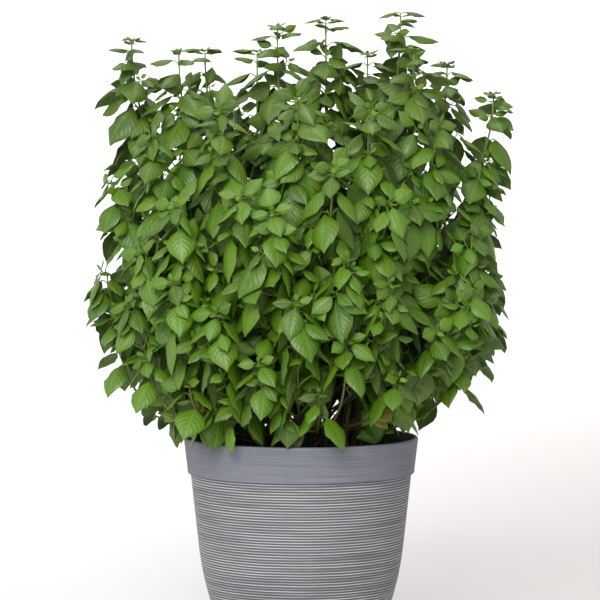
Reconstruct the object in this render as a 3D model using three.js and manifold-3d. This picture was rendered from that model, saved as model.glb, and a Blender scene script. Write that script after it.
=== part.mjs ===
// A basil plant in a ribbed planter, in millimetres, +Z up. The origin is the centre of the planter's base.
// A tapered pot with a smooth rim band and combed ribs holds a bed of soil, and leafy stems stand in plain
// holes in the soil. Every stem is square in section, as basil's is, and grows its leaves in opposite pairs,
// each pair turned a quarter round from the one below.

import * as THREE from "three";
import { mergeVertices } from "three/addons/utils/BufferGeometryUtils.js";
import Module from "manifold-3d";

const wasm = await Module();
wasm.setup();

const DEG = Math.PI / 180;
const QUARTER = Math.PI / 2;
const UP = new THREE.Vector3(0, 0, 1);

// Pot
const POT_HEIGHT = 270;
const RIM_RADIUS = 150;
const BAND_HEIGHT = 46;
const BAND_FOOT_RADIUS = 144.5;
const BODY_TOP_RADIUS = 141;
const KNEE_HEIGHT = 130;
const KNEE_RADIUS = 130.6;
const BASE_RADIUS = 92;
const BASE_ROUNDING = 5;
const WALL = 6;
const RIM_WALL = 5;
const FLOOR = 8;
const LIP = 2;
const RIB_COUNT = 13;
const RIB_DEPTH = 1.2;
const POT_SIDES = 26;
const DRAIN_COUNT = 4;
const DRAIN_RADIUS = 7;
const DRAIN_CIRCLE = 52;
const DRAIN_SIDES = 8;

// Soil
const SEAT_GAP = 0.3;
const SOIL_TOP = 250;
const SOIL_RINGS = [0.4, 0.8];
const SOIL_LUMP = 2.4;
const SOIL_WAVES = { along: 17, across: 21, slanting: 9 };

// Stems
const ROOT_DEPTH = 30;
const ROOT_SHARE = 0.36;
const ROOT_REACH = 104;
const ROOT_SPREAD = 9;
const ROOT_SPREAD_STEP = 3;
const ROOT_TRIES = 12;
const STEM_HALF_WIDTH = 3.1;
const SHOOT_HALF_WIDTH = 1.7;
const TIP_HALF_WIDTH = 0.9;
const STEM_STEP = 110;
const STEM_TURN = 45;
const STEM_TURN_SPREAD = 14;
const WOBBLE = 9;
const KNOT_HALF_HEIGHT = 1.3;
const BUD_HEIGHT = 3;
const STEM_CLEARANCE = 1.2;
const ENVELOPE_SHARES = [0.2, 0.36, 0.52, 0.68, 0.84, 1];
const CROWN_PAIRS = 4;
const SIDE_PAIRS = 3;

// Side shoots. A shoot leaves its stem below its tip by a drop that grows with the way out to the tip.
const SHOOT_PAIRS = 2;
const SHOOT_TRIES = 6;
const SHOOT_START = 0.07;
const SHOOT_CLEAR = 0.12;
const SHOOT_BESIDE = 60;
const SHOOT_DROP = 22;
const SHOOT_SLOPE = 1.05;
const SHOOT_SLOPE_STEP = 0.16;
const SHOOT_LOWEST = 0.035;
const SHOOT_APART = 0.02;
const SHOOT_FIRST_CLIMB = 0.6;
const SHOOT_WOBBLE = 7;
const SHOOT_SPACING = 0.95;
const SHOOT_VIGOUR = 1.04;

// Leaves. A pair's place is its distance below the tip of its stem.
const PAIR_PLACES = [12, 31, 58, 87, 117];
const BLADE_LENGTHS = [34, 45, 53, 55, 56];
const BLADE_WIDTH_SHARE = 0.68;
const BLADE_THICKNESS = 1.6;
const BLADE_STATIONS = [
  [0.3, 1],
  [0.68, 0.74],
];
const YOUNG_STATIONS = [[0.42, 1]];
const BASE_PITCHES = [18, 10, 2, -8, -14];
const TIP_PITCHES = [-26, -38, -48, -56, -60];
const HANG_PITCH = 44;
const HANG_FROM = 780;
const HANG_FULL = 560;
const FOLD = 20;
const PETIOLE_SHARE = 0.26;
const PETIOLE_PITCH = 38;
const MOST_RISE = 65;
const PETIOLE_HALF_WIDTH = 1;
const STEER = 0.4;
const MOST_TURN = 50;
const YAW_SPREAD = 12;
const ROLL_SPREAD = 20;
const HANG_SPREAD = 9;
const SIZE_SPREAD = 0.13;
const BREADTH_SPREAD = 0.1;
const LEAF_TRIES = 9;
const SWING = 13;
const DIP = 22;
const SHRINK = 0.035;
const LEAF_CLEARANCE = 0.6;
const TIP_LEAF = { length: 17, share: 0.62, base: 30, tip: -2 };
const TIP_PAIR = 9;
const FIRST_PAIR_SHARE = 0.12;
const STALK_SHARE = 0.7;

// Keys that keep the draws of one leaf or stem apart.
const DRAW = {
  turn: 1,
  sway: 2,
  yaw: 3,
  roll: 4,
  hang: 5,
  size: 6,
  breadth: 7,
  wobble: 8,
  pair: 10,
  dip: 20,
  root: 30,
};

const HASH = { start: 0x9e3779b9, first: 0x85ebca6b, second: 0xc2b2ae35 };

// Where the stems end, as [x, y, z] from the centre of the base, -Y towards the front. Each stem's side
// shoots follow in the same form. The back repeats the sides' plan, turned half round.
const BACK_SCALE = [-0.97, -0.96];
const BACK_LIFT = 8;
const BACK_SHOOTS = 2;
const CROWN_STEMS = [
  { tip: [-213, -20, 767] },
  { tip: [-123, 40, 757] },
  { tip: [-152, -62, 752] },
  { tip: [-57, 90, 758] },
  { tip: [-30, -12, 785] },
  { tip: [31, -42, 792] },
  { tip: [86, 70, 754] },
  { tip: [125, -30, 801] },
  { tip: [139, -92, 752] },
  { tip: [186, 22, 739] },
  { tip: [243, -10, 699] },
];
const SIDE_STEMS = [
  { tip: [-179, -110, 647], shoots: [[-190, -128, 506], [-206, -98, 440]] },
  { tip: [-96, -150, 676], shoots: [[-70, -192, 573], [-100, -192, 432]] },
  { tip: [-4, -160, 690], shoots: [[-34, -224, 554], [-6, -220, 446], [-50, -192, 372]] },
  { tip: [82, -150, 676], shoots: [[104, -186, 565], [104, -204, 468], [115, -166, 352]] },
  { tip: [165, -110, 660], shoots: [[212, -88, 531], [206, -118, 458], [160, -150, 408]] },
  { tip: [225, -40, 619], shoots: [[228, -52, 440], [196, -82, 366]] },
  { tip: [-236, -20, 590], shoots: [[-243, -44, 476], [-226, -30, 384]] },
  { tip: [38, -212, 607], shoots: [[51, -222, 500], [54, -208, 400], [22, -176, 334]] },
  { tip: [-150, -160, 562], shoots: [[-152, -180, 470], [-186, -116, 372], [-136, -148, 344]] },
];

/** A number from 0 to 1 that depends only on its keys, so that every leaf has its own fixed chance. */
function chance(...keys) {
  let bits = HASH.start;
  for (const key of keys) {
    bits = Math.imul(bits ^ key, HASH.first);
    bits ^= bits >>> 13;
    bits = Math.imul(bits, HASH.second);
    bits ^= bits >>> 16;
  }
  return (bits >>> 0) / 2 ** 32;
}

/** A chance between minus and plus an amount. */
function spread(amount, ...keys) {
  return amount * (2 * chance(...keys) - 1);
}

function clamp(value, low, high) {
  return Math.min(high, Math.max(low, value));
}

/** The same angle between minus and plus half a turn. */
function wrapped(angle) {
  return Math.atan2(Math.sin(angle), Math.cos(angle));
}

function solidOf(geometry) {
  const bare = geometry.clone();
  bare.deleteAttribute("normal");
  bare.deleteAttribute("uv");
  const merged = mergeVertices(bare, 1e-3);
  return new wasm.Manifold(
    new wasm.Mesh({
      numProp: 3,
      vertProperties: new Float32Array(merged.attributes.position.array),
      triVerts: new Uint32Array(merged.index.array),
    }),
  );
}

function geometryOf(solid) {
  const mesh = solid.getMesh();
  const geometry = new THREE.BufferGeometry();
  geometry.setAttribute("position", new THREE.BufferAttribute(mesh.vertProperties, 3));
  geometry.setIndex(new THREE.BufferAttribute(mesh.triVerts, 1));
  geometry.computeVertexNormals();
  return geometry;
}

function turned(profile, sides) {
  const points = profile.map(([r, z]) => new THREE.Vector2(r, z));
  return new THREE.LatheGeometry(points, sides).rotateX(QUARTER);
}

/** The pot's outer radius under the band, without ribs: a straight taper, then a rounded shoulder inwards. */
function bodyRadius(z) {
  const taper = (BODY_TOP_RADIUS - KNEE_RADIUS) / (POT_HEIGHT - BAND_HEIGHT - KNEE_HEIGHT);
  if (z >= KNEE_HEIGHT) return KNEE_RADIUS + (z - KNEE_HEIGHT) * taper;
  const below = (KNEE_HEIGHT - z) / KNEE_HEIGHT;
  const straight = KNEE_RADIUS - (KNEE_HEIGHT - z) * taper;
  const missing = KNEE_RADIUS - KNEE_HEIGHT * taper - BASE_RADIUS;
  return straight - missing * below ** 2;
}

function innerWall(clearance) {
  const steps = [POT_HEIGHT - BAND_HEIGHT, KNEE_HEIGHT, KNEE_HEIGHT / 2];
  return steps.map((z) => [bodyRadius(z) - WALL - clearance, z]);
}

function potProfile() {
  const bandFoot = POT_HEIGHT - BAND_HEIGHT;
  const ribs = [];
  const pitch = (bandFoot - 2 * BASE_ROUNDING) / RIB_COUNT;
  for (let i = 0; i < RIB_COUNT; i++) {
    const groove = 2 * BASE_ROUNDING + i * pitch;
    const crest = groove + pitch / 2;
    ribs.push([bodyRadius(groove) - RIB_DEPTH, groove], [bodyRadius(crest), crest]);
  }
  const lipInside = RIM_RADIUS - RIM_WALL;
  return [
    [0, 0],
    [BASE_RADIUS - BASE_ROUNDING, 0],
    [BASE_RADIUS, BASE_ROUNDING],
    ...ribs,
    [BODY_TOP_RADIUS - RIB_DEPTH, bandFoot],
    [BAND_FOOT_RADIUS - LIP, bandFoot],
    [BAND_FOOT_RADIUS, bandFoot + LIP],
    [RIM_RADIUS, POT_HEIGHT - LIP],
    [RIM_RADIUS - LIP, POT_HEIGHT],
    [lipInside + LIP, POT_HEIGHT],
    [lipInside, POT_HEIGHT - LIP],
    ...innerWall(0),
    [BASE_RADIUS - WALL, FLOOR],
    [0, FLOOR],
  ];
}

function potSolid() {
  let pot = solidOf(turned(potProfile(), POT_SIDES));
  for (let i = 0; i < DRAIN_COUNT; i++) {
    const angle = (i + 0.5) * (2 * Math.PI / DRAIN_COUNT);
    const drill = new THREE.CylinderGeometry(DRAIN_RADIUS, DRAIN_RADIUS, 4 * FLOOR, DRAIN_SIDES)
      .rotateX(QUARTER)
      .translate(DRAIN_CIRCLE * Math.cos(angle), DRAIN_CIRCLE * Math.sin(angle), 0);
    pot = pot.subtract(solidOf(drill));
  }
  return pot;
}

/** The soil's top is a little uneven. */
function soilHeight(x, y) {
  const { along, across, slanting } = SOIL_WAVES;
  const waves = Math.sin(x / along) * Math.cos(y / across) + 0.5 * Math.sin((x - y) / slanting);
  return SOIL_TOP + SOIL_LUMP * waves;
}

function soilSolid(stems) {
  const edge = bodyRadius(POT_HEIGHT - BAND_HEIGHT) - WALL - SEAT_GAP;
  const profile = [
    [0, FLOOR + SEAT_GAP],
    [BASE_RADIUS - WALL - SEAT_GAP, FLOOR + SEAT_GAP],
    ...innerWall(SEAT_GAP).reverse(),
    [edge, SOIL_TOP - SOIL_LUMP],
    ...SOIL_RINGS.map((share) => [share * edge, SOIL_TOP]).reverse(),
    [0, SOIL_TOP],
  ];
  const geometry = turned(profile, POT_SIDES);
  const places = geometry.attributes.position;
  for (let i = 0; i < places.count; i++) {
    if (places.getZ(i) > SOIL_TOP - 0.5) places.setZ(i, soilHeight(places.getX(i), places.getY(i)));
  }
  let soil = solidOf(geometry);
  for (const stem of stems) soil = soil.subtract(stem.hole());
  return soil;
}

/** A closed mesh that grows ring by ring. A ring's points run anticlockwise, seen from its far end. */
class Body {
  constructor() {
    this.points = [];
    this.faces = [];
  }

  ring(points) {
    return points.map((p) => this.points.push(p) - 1);
  }

  /** One wall between two rings. Both faces of a blade are split alike, so that they never cross. */
  wall(from, to, side) {
    const next = (side + 1) % from.length;
    if (side % 2) {
      this.faces.push([from[side], from[next], to[next]], [from[side], to[next], to[side]]);
    } else {
      this.faces.push([from[side], from[next], to[side]], [from[next], to[next], to[side]]);
    }
  }

  walls(from, to) {
    for (let side = 0; side < from.length; side++) this.wall(from, to, side);
  }

  /** Walls from a window to a new ring, joined corner to corner the way that twists least. */
  join(window, points) {
    const ring = this.ring(points);
    const twist = (turn) => {
      const reach = (corner, i) => this.points[corner].distanceTo(points[(i + turn) % points.length]);
      return window.map(reach).reduce((sum, distance) => sum + distance);
    };
    const twists = points.map((_, turn) => twist(turn));
    const best = twists.indexOf(Math.min(...twists));
    this.walls(window, window.map((_, i) => ring[(i + best) % ring.length]));
    return ring;
  }

  /** The walls of a point over a ring, each given to a function that closes or continues it. */
  point(from, tip, finish = (window) => this.faces.push(window)) {
    const [top] = this.ring([tip]);
    from.forEach((corner, side) => finish([corner, from[(side + 1) % from.length], top], side));
  }

  foot(ring) {
    for (let i = 2; i < ring.length; i++) this.faces.push([ring[i], ring[i - 1], ring[0]]);
  }

  geometry() {
    const geometry = new THREE.BufferGeometry();
    const places = this.points.flatMap((p) => [p.x, p.y, p.z]);
    geometry.setAttribute("position", new THREE.Float32BufferAttribute(places, 3));
    geometry.setIndex(this.faces.flat());
    geometry.computeVertexNormals();
    return geometry;
  }
}

function solidOfRings(rings, tip) {
  const body = new Body();
  const placed = rings.map((ring) => body.ring(ring));
  body.foot(placed[0]);
  for (let i = 1; i < placed.length; i++) body.walls(placed[i - 1], placed[i]);
  if (tip) body.point(placed.at(-1), tip);
  else body.foot([...placed.at(-1)].reverse());
  return solidOf(body.geometry());
}

/** A leaf on its petiole: the midrib is one arc that nods from its base pitch to its tip pitch. */
class Leaf {
  constructor({ root, heading, rise, length, width, petiole, basePitch, tipPitch, roll, stations }) {
    const along = new THREE.Vector3(Math.cos(heading), Math.sin(heading), 0);
    const side = UP.clone().cross(along);
    this.along = along;
    this.up = UP.clone().multiplyScalar(Math.cos(roll)).addScaledVector(side, Math.sin(roll));
    this.side = side.multiplyScalar(Math.cos(roll)).addScaledVector(UP, -Math.sin(roll));
    this.length = length;
    this.width = width;
    this.basePitch = basePitch;
    this.bend = tipPitch - basePitch;
    this.stations = stations;
    this.elbow = (rise + basePitch) / 2;
    this.root = root;
    this.start = root
      .clone()
      .addScaledVector(along, petiole * Math.cos(rise))
      .addScaledVector(UP, petiole * Math.sin(rise));
  }

  pitchAt(share) {
    return this.basePitch + this.bend * share;
  }

  /** The midrib's point at a share of the blade's length. */
  midrib(share) {
    const pitch = this.pitchAt(share);
    const run = (Math.sin(pitch) - Math.sin(this.basePitch)) / this.bend;
    const rise = (Math.cos(this.basePitch) - Math.cos(pitch)) / this.bend;
    return this.start
      .clone()
      .addScaledVector(this.along, this.length * run)
      .addScaledVector(this.up, this.length * rise);
  }

  /** Four points round the midrib: underside, one margin, upper side, other margin. */
  ring(share, halfWidth, extra = 0, pitch = this.pitchAt(share)) {
    const middle = this.midrib(share);
    const normal = this.along
      .clone()
      .multiplyScalar(-Math.sin(pitch))
      .addScaledVector(this.up, Math.cos(pitch));
    const half = halfWidth + extra;
    const drop = -half * Math.sin(FOLD * DEG);
    const margin = (sign) =>
      middle
        .clone()
        .addScaledVector(this.side, sign * half * Math.cos(FOLD * DEG))
        .addScaledVector(normal, drop);
    const depth = BLADE_THICKNESS / 2 + extra;
    return [
      middle.clone().addScaledVector(normal, -depth),
      margin(1),
      middle.clone().addScaledVector(normal, depth),
      margin(-1),
    ];
  }

  rings(extra = 0) {
    const blade = this.stations.map(([share, part]) => this.ring(share, (part * this.width) / 2, extra));
    return [this.ring(0, PETIOLE_HALF_WIDTH, extra, this.elbow), ...blade];
  }

  tip() {
    return this.midrib(1);
  }

  /** A slightly larger solid than the leaf itself, for finding a place that is clear all round. */
  envelope() {
    const rings = this.rings(LEAF_CLEARANCE);
    const stalk = rings[0].map((p) => p.clone().lerp(this.root, STALK_SHARE));
    return solidOfRings([stalk, ...rings], this.midrib(1 + LEAF_CLEARANCE / this.length));
  }

  grow(body, window) {
    const [first, ...others] = this.rings();
    let last = body.join(window, first);
    for (const points of others) {
      const ring = body.ring(points);
      body.walls(last, ring);
      last = ring;
    }
    body.point(last, this.tip());
  }
}

/** One of the two youngest leaves, a blade of three corners that opens beside the bud. */
class TipLeaf extends Leaf {
  rings(extra = 0) {
    const [, right, upper, left] = this.ring(YOUNG_STATIONS[0][0], this.width / 2, extra);
    return [[left, right, upper]];
  }
}

/** Solids that are already in place. A new one is accepted where it meets none of them. */
class Clearing {
  constructor() {
    this.taken = [];
  }

  add(solid, owner) {
    this.taken.push({ solid, owner, box: solid.boundingBox() });
  }

  free(solid, owners = []) {
    const { min, max } = solid.boundingBox();
    return !this.taken.some(
      ({ solid: other, owner, box }) =>
        !owners.includes(owner) &&
        [0, 1, 2].every((k) => box.min[k] < max[k] && min[k] < box.max[k]) &&
        !solid.intersect(other).isEmpty(),
    );
  }
}

/** A square stem along a curve. Its share runs from 0 at its foot to 1 at its tip. */
class Stem {
  constructor(keys, foot, tip, halfWidth, outward) {
    this.keys = keys;
    this.foot = foot;
    this.tip = tip;
    this.halfWidth = halfWidth;
    this.outward = outward;
    this.phase = STEM_TURN * DEG + spread(STEM_TURN_SPREAD * DEG, ...keys, DRAW.turn);
    this.height = tip.z - foot.z;
    this.knots = [];
    const sway = 2 * Math.PI * chance(...keys, DRAW.sway);
    this.sway = new THREE.Vector3(Math.cos(sway), Math.sin(sway), 0);
  }

  centre(share) {
    const across = this.crossing(share);
    return new THREE.Vector3(
      this.foot.x + (this.tip.x - this.foot.x) * across,
      this.foot.y + (this.tip.y - this.foot.y) * across,
      this.foot.z + this.height * this.climb(share),
    ).addScaledVector(this.sway, this.wobble * Math.sin(Math.PI * share) ** 2);
  }

  section(share) {
    const step = 1e-3;
    const centre = this.centre(share);
    const tangent = this.centre(share + step).sub(this.centre(share - step)).normalize();
    const first = this.outward.clone().addScaledVector(tangent, -tangent.dot(this.outward)).normalize();
    return { centre, first, second: tangent.clone().cross(first) };
  }

  halfWidthAt(share) {
    return this.halfWidth + (TIP_HALF_WIDTH - this.halfWidth) * share;
  }

  ring(share, extra = 0) {
    const { centre, first, second } = this.section(share);
    const reach = (this.halfWidthAt(share) + extra) * Math.SQRT2;
    return [0, 1, 2, 3].map((i) => {
      const angle = this.phase + QUARTER / 2 + QUARTER * i;
      return centre
        .clone()
        .addScaledVector(first, reach * Math.cos(angle))
        .addScaledVector(second, reach * Math.sin(angle));
    });
  }

  faceNormal(share, face) {
    const { first, second } = this.section(share);
    const angle = this.phase + QUARTER * (face + 1);
    return first.clone().multiplyScalar(Math.cos(angle)).addScaledVector(second, Math.sin(angle));
  }

  shareBelowTip(distance) {
    return 1 - distance / this.tipSpeed;
  }

  /** Shares of the plain rings between the knots, so that no stretch is longer than a step. */
  stretch(from, to) {
    const count = Math.ceil(this.centre(from).distanceTo(this.centre(to)) / STEM_STEP);
    return Array.from({ length: count - 1 }, (_, i) => from + ((i + 1) / count) * (to - from));
  }

  envelope() {
    const shares = [this.firstClear, ...ENVELOPE_SHARES];
    return solidOfRings(shares.map((share) => this.ring(share, STEM_CLEARANCE)));
  }

  /** A knot is a short stretch whose walls may each grow a leaf or a side shoot. */
  addKnot(share) {
    const knot = { share, half: KNOT_HALF_HEIGHT / this.tipSpeed, growth: [null, null, null, null] };
    this.knots.push(knot);
    this.knots.sort((a, b) => a.share - b.share);
    return knot;
  }

  outwardHeading(share) {
    const { x, y } = this.centre(share);
    return Math.atan2(y, x);
  }

  /** What is left to chance in a leaf, and how it turns towards the open. Later attempts swing it aside. */
  leafHabit(share, pair, face, attempt) {
    const keys = [...this.keys, DRAW.pair + pair, face];
    const normal = this.faceNormal(share, face);
    const outward = this.outwardHeading(share);
    const plain = Math.atan2(normal.y, normal.x);
    const turn = wrapped(plain - outward);
    const swing = (attempt % 2 ? 1 : -1) * Math.ceil(attempt / 2) * SWING * DEG;
    const steered = outward + turn * (1 - (STEER * Math.abs(turn)) / Math.PI);
    const wanted = steered + swing + spread(YAW_SPREAD * DEG, ...keys, DRAW.yaw);
    const low = clamp((HANG_FROM - this.centre(share).z) / (HANG_FROM - HANG_FULL), 0, 1);
    const dip = attempt ? spread(DIP * DEG, ...keys, DRAW.dip + attempt) : 0;
    return {
      root: this.centre(share).addScaledVector(normal, this.halfWidthAt(share)),
      heading: plain + clamp(wrapped(wanted - plain), -MOST_TURN * DEG, MOST_TURN * DEG),
      rise: Math.min(PETIOLE_PITCH * DEG + Math.asin(normal.z), MOST_RISE * DEG),
      roll: spread(ROLL_SPREAD * DEG, ...keys, DRAW.roll),
      hang: -HANG_PITCH * DEG * low + spread(HANG_SPREAD * DEG, ...keys, DRAW.hang) + dip,
      size: (1 + spread(SIZE_SPREAD, ...keys, DRAW.size)) * (1 - SHRINK * attempt),
      broad: 1 + spread(BREADTH_SPREAD, ...keys, DRAW.breadth),
    };
  }

  leaf(pair, face, attempt) {
    const share = this.shareBelowTip(PAIR_PLACES[pair] * this.spacing);
    const { root, heading, rise, roll, hang, size, broad } = this.leafHabit(share, pair, face, attempt);
    const length = BLADE_LENGTHS[pair] * size * this.vigour;
    return new Leaf({
      root,
      heading,
      rise,
      roll,
      length,
      width: length * BLADE_WIDTH_SHARE * broad,
      petiole: length * PETIOLE_SHARE,
      basePitch: BASE_PITCHES[pair] * DEG + hang,
      tipPitch: TIP_PITCHES[pair] * DEG + hang,
      stations: pair ? BLADE_STATIONS : YOUNG_STATIONS,
    });
  }

  tipLeaf(face) {
    const { root, heading, rise, size } = this.leafHabit(1, TIP_PAIR, face, 0);
    const length = TIP_LEAF.length * size;
    return new TipLeaf({
      root,
      heading,
      rise,
      roll: 0,
      length,
      width: length * TIP_LEAF.share,
      petiole: 0,
      basePitch: TIP_LEAF.base * DEG,
      tipPitch: TIP_LEAF.tip * DEG,
    });
  }

  /** The two walls that this pair of leaves grows on, a quarter round from the next pair's. */
  facesOf(pair) {
    return pair % 2 ? [1, 3] : [0, 2];
  }

  /** Grows a leaf on each wall of a pair, wherever the clearing has room for it. */
  growPair(clearing, pair) {
    const share = this.shareBelowTip(PAIR_PLACES[pair] * this.spacing);
    if (share < FIRST_PAIR_SHARE) return;
    const knot = this.addKnot(share);
    for (const face of this.facesOf(pair)) {
      for (let attempt = 0; attempt < LEAF_TRIES; attempt++) {
        const leaf = this.leaf(pair, face, attempt);
        const envelope = leaf.envelope();
        if (!clearing.free(envelope)) continue;
        clearing.add(envelope, this);
        knot.growth[face] = leaf;
        break;
      }
    }
  }

  /** Takes up the room of the two youngest leaves. */
  keepTip(clearing) {
    for (const face of this.facesOf(1)) clearing.add(this.tipLeaf(face).envelope(), this);
  }

  growLeaves(clearing) {
    for (let pair = 0; pair < this.pairs; pair++) this.growPair(clearing, pair);
  }

  /** Builds this stem on a ring that is already in the body, then everything that its knots grow. */
  build(body, from, firstShare) {
    let last = from;
    let lastShare = firstShare;
    for (const { share, half, growth } of this.knots) {
      for (const between of this.stretch(lastShare, share - half)) {
        const ring = body.ring(this.ring(between));
        body.walls(last, ring);
        last = ring;
      }
      const low = body.ring(this.ring(share - half));
      body.walls(last, low);
      const high = body.ring(this.ring(share + half));
      growth.forEach((grown, side) => {
        const next = (side + 1) % 4;
        const window = [low[side], low[next], high[next], high[side]];
        if (grown) grown.grow(body, window);
        else body.wall(low, high, side);
      });
      last = high;
      lastShare = share + half;
    }
    const end = body.ring(this.ring(1));
    body.walls(last, end);
    body.point(end, this.centre(1).addScaledVector(UP, BUD_HEIGHT), (window, side) => {
      if (this.facesOf(1).includes(side)) this.tipLeaf(side).grow(body, window);
      else body.faces.push(window);
    });
  }
}

/** A main stem leaves its hole in the soil upright and ends upright. */
class MainStem extends Stem {
  constructor(index, tip, pairs, attempt) {
    const place = new THREE.Vector3(...tip);
    const reach = Math.hypot(place.x, place.y);
    const share = Math.min(ROOT_SHARE, ROOT_REACH / reach);
    const room = ROOT_SPREAD + ROOT_SPREAD_STEP * attempt;
    const shift = [0, 1].map((axis) => spread(room, index, DRAW.root + 2 * attempt + axis));
    const foot = new THREE.Vector3(place.x * share + shift[0], place.y * share + shift[1], SOIL_TOP);
    super([index, 0], foot, place, STEM_HALF_WIDTH, new THREE.Vector3(place.x / reach, place.y / reach, 0));
    this.firstClear = 0;
    this.wobble = WOBBLE;
    this.tipSpeed = this.height;
    this.pairs = pairs;
    this.spacing = 1;
    this.vigour = 1;
    this.shoots = [];
  }

  crossing(share) {
    return share * share * (3 - 2 * share);
  }

  climb(share) {
    return share;
  }

  hole() {
    const width = 2 * (STEM_HALF_WIDTH + SEAT_GAP);
    const depth = ROOT_DEPTH + SEAT_GAP;
    const box = new THREE.BoxGeometry(width, width, 2 * depth)
      .rotateZ(Math.atan2(this.outward.y, this.outward.x) + this.phase)
      .translate(this.foot.x, this.foot.y, SOIL_TOP);
    return solidOf(box);
  }

  rootRing(body) {
    const flat = this.ring(0);
    return body.ring(flat.map((p) => p.clone().setZ(SOIL_TOP - ROOT_DEPTH)));
  }

  mesh(name, material) {
    const body = new Body();
    const root = this.rootRing(body);
    body.foot(root);
    const collar = body.ring(this.ring(0));
    body.walls(root, collar);
    this.build(body, collar, 0);
    const mesh = new THREE.Mesh(body.geometry(), material);
    mesh.name = name;
    return mesh;
  }
}

/** A side shoot leaves a main stem outwards and turns upright towards its tip. */
class SideShoot extends Stem {
  constructor(parent, order, tip, attempt) {
    const place = new THREE.Vector3(...tip);
    const beside = parent.centre(Math.max(0, (place.z - SHOOT_BESIDE - SOIL_TOP) / parent.height));
    const away = Math.hypot(place.x - beside.x, place.y - beside.y);
    const drop = (SHOOT_SLOPE + SHOOT_SLOPE_STEP * attempt) * away + SHOOT_DROP;
    const lowest = SHOOT_LOWEST + SHOOT_APART * order;
    const share = Math.max(lowest, (place.z - drop - SOIL_TOP) / parent.height);
    const foot = parent.centre(share);
    const outward = new THREE.Vector3(place.x - foot.x, place.y - foot.y, 0).normalize();
    super([parent.keys[0], order + 1], foot, place, SHOOT_HALF_WIDTH, outward);
    this.parent = parent;
    this.parentShare = share;
    this.firstClear = SHOOT_CLEAR;
    this.wobble = spread(SHOOT_WOBBLE, ...this.keys, DRAW.wobble + attempt);
    this.tipSpeed = this.height * (2 - SHOOT_FIRST_CLIMB);
    this.pairs = SHOOT_PAIRS;
    this.spacing = SHOOT_SPACING;
    this.vigour = SHOOT_VIGOUR;
  }

  crossing(share) {
    return share * (2 - share);
  }

  climb(share) {
    return share * (SHOOT_FIRST_CLIMB + (1 - SHOOT_FIRST_CLIMB) * share);
  }

  /** The parent's wall that faces the way this shoot leaves. */
  bestFace() {
    const leaving = this.centre(SHOOT_CLEAR).sub(this.foot);
    const fit = [0, 1, 2, 3].map((face) => this.parent.faceNormal(this.parentShare, face).dot(leaving));
    return fit.indexOf(Math.max(...fit));
  }

  grow(body, window) {
    this.build(body, body.join(window, this.ring(SHOOT_START)), SHOOT_START);
  }
}

function turnedRound([x, y, z]) {
  return [x * BACK_SCALE[0], y * BACK_SCALE[1], z + BACK_LIFT];
}

function stemPlans() {
  const crown = CROWN_STEMS.map(({ tip }) => ({ tip, shoots: [], pairs: CROWN_PAIRS }));
  const front = SIDE_STEMS.map(({ tip, shoots }) => ({ tip, shoots, pairs: SIDE_PAIRS }));
  const back = SIDE_STEMS.map(({ tip, shoots }) => ({
    tip: turnedRound(tip),
    shoots: shoots.slice(0, BACK_SHOOTS).map(turnedRound),
    pairs: SIDE_PAIRS,
  }));
  return [...crown, ...front, ...back];
}

/** Plants every main stem where its foot is clear of the others, then its side shoots in the same way. */
function plantStems(clearing) {
  const stems = [];
  stemPlans().forEach((plan, index) => {
    for (let attempt = 0; attempt < ROOT_TRIES; attempt++) {
      const stem = new MainStem(index, plan.tip, plan.pairs, attempt);
      const envelope = stem.envelope();
      if (!clearing.free(envelope)) continue;
      clearing.add(envelope, stem);
      stems.push(Object.assign(stem, { plan }));
      return;
    }
  });
  for (const stem of stems) {
    stem.plan.shoots.forEach((tip, order) => {
      for (let attempt = 0; attempt < SHOOT_TRIES; attempt++) {
        const shoot = new SideShoot(stem, order, tip, attempt);
        const envelope = shoot.envelope();
        if (!clearing.free(envelope, [stem])) continue;
        clearing.add(envelope, shoot);
        stem.shoots.push(shoot);
        const knot = stem.addKnot(shoot.parentShare);
        knot.growth[shoot.bestFace()] = shoot;
        return;
      }
    });
  }
  return stems;
}

const clearing = new Clearing();
const stems = plantStems(clearing);
const pot = potSolid();
const soil = soilSolid(stems);
clearing.add(pot, "pot");
clearing.add(soil, "soil");
const shoots = stems.flatMap((stem) => stem.shoots);
for (const shoot of [...stems, ...shoots]) shoot.keepTip(clearing);
for (const shoot of [...stems, ...shoots]) shoot.growLeaves(clearing);

const potPlastic = new THREE.MeshStandardMaterial({ color: 0x7c7d84, roughness: 0.8, metalness: 0 });
const darkSoil = new THREE.MeshStandardMaterial({ color: 0x2a201a, roughness: 1, metalness: 0 });
const leafGreen = new THREE.MeshStandardMaterial({ color: 0x4c7a2c, roughness: 0.55, metalness: 0 });

const basil = new THREE.Group();
for (const [name, solid, material] of [
  ["pot", pot, potPlastic],
  ["soil", soil, darkSoil],
]) {
  const mesh = new THREE.Mesh(geometryOf(solid), material);
  mesh.name = name;
  basil.add(mesh);
}
stems.forEach((stem, index) => {
  basil.add(stem.mesh("leafy_stem_" + String(index + 1).padStart(2, "0"), leafGreen));
});

export default basil;
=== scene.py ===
"""Dresses a basil plant that stands in a ribbed grey planter.

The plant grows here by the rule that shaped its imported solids, so every fine stem and blade lies where its
plain one does. Growing is worked out in millimetres. Meshes, lights and the camera are in metres.
"""

import logging
from collections import defaultdict
from dataclasses import dataclass, field
from enum import Enum, IntEnum
from functools import cache
from itertools import pairwise, product
from math import asin, atan2, ceil, copysign, cos, exp, hypot, pi, radians, sin, sqrt
from typing import Any, Iterable, Iterator, NamedTuple

import bmesh
import bpy
import numpy as np
from mathutils import Matrix, Vector, kdtree, noise
from mathutils.bvhtree import BVHTree


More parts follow.
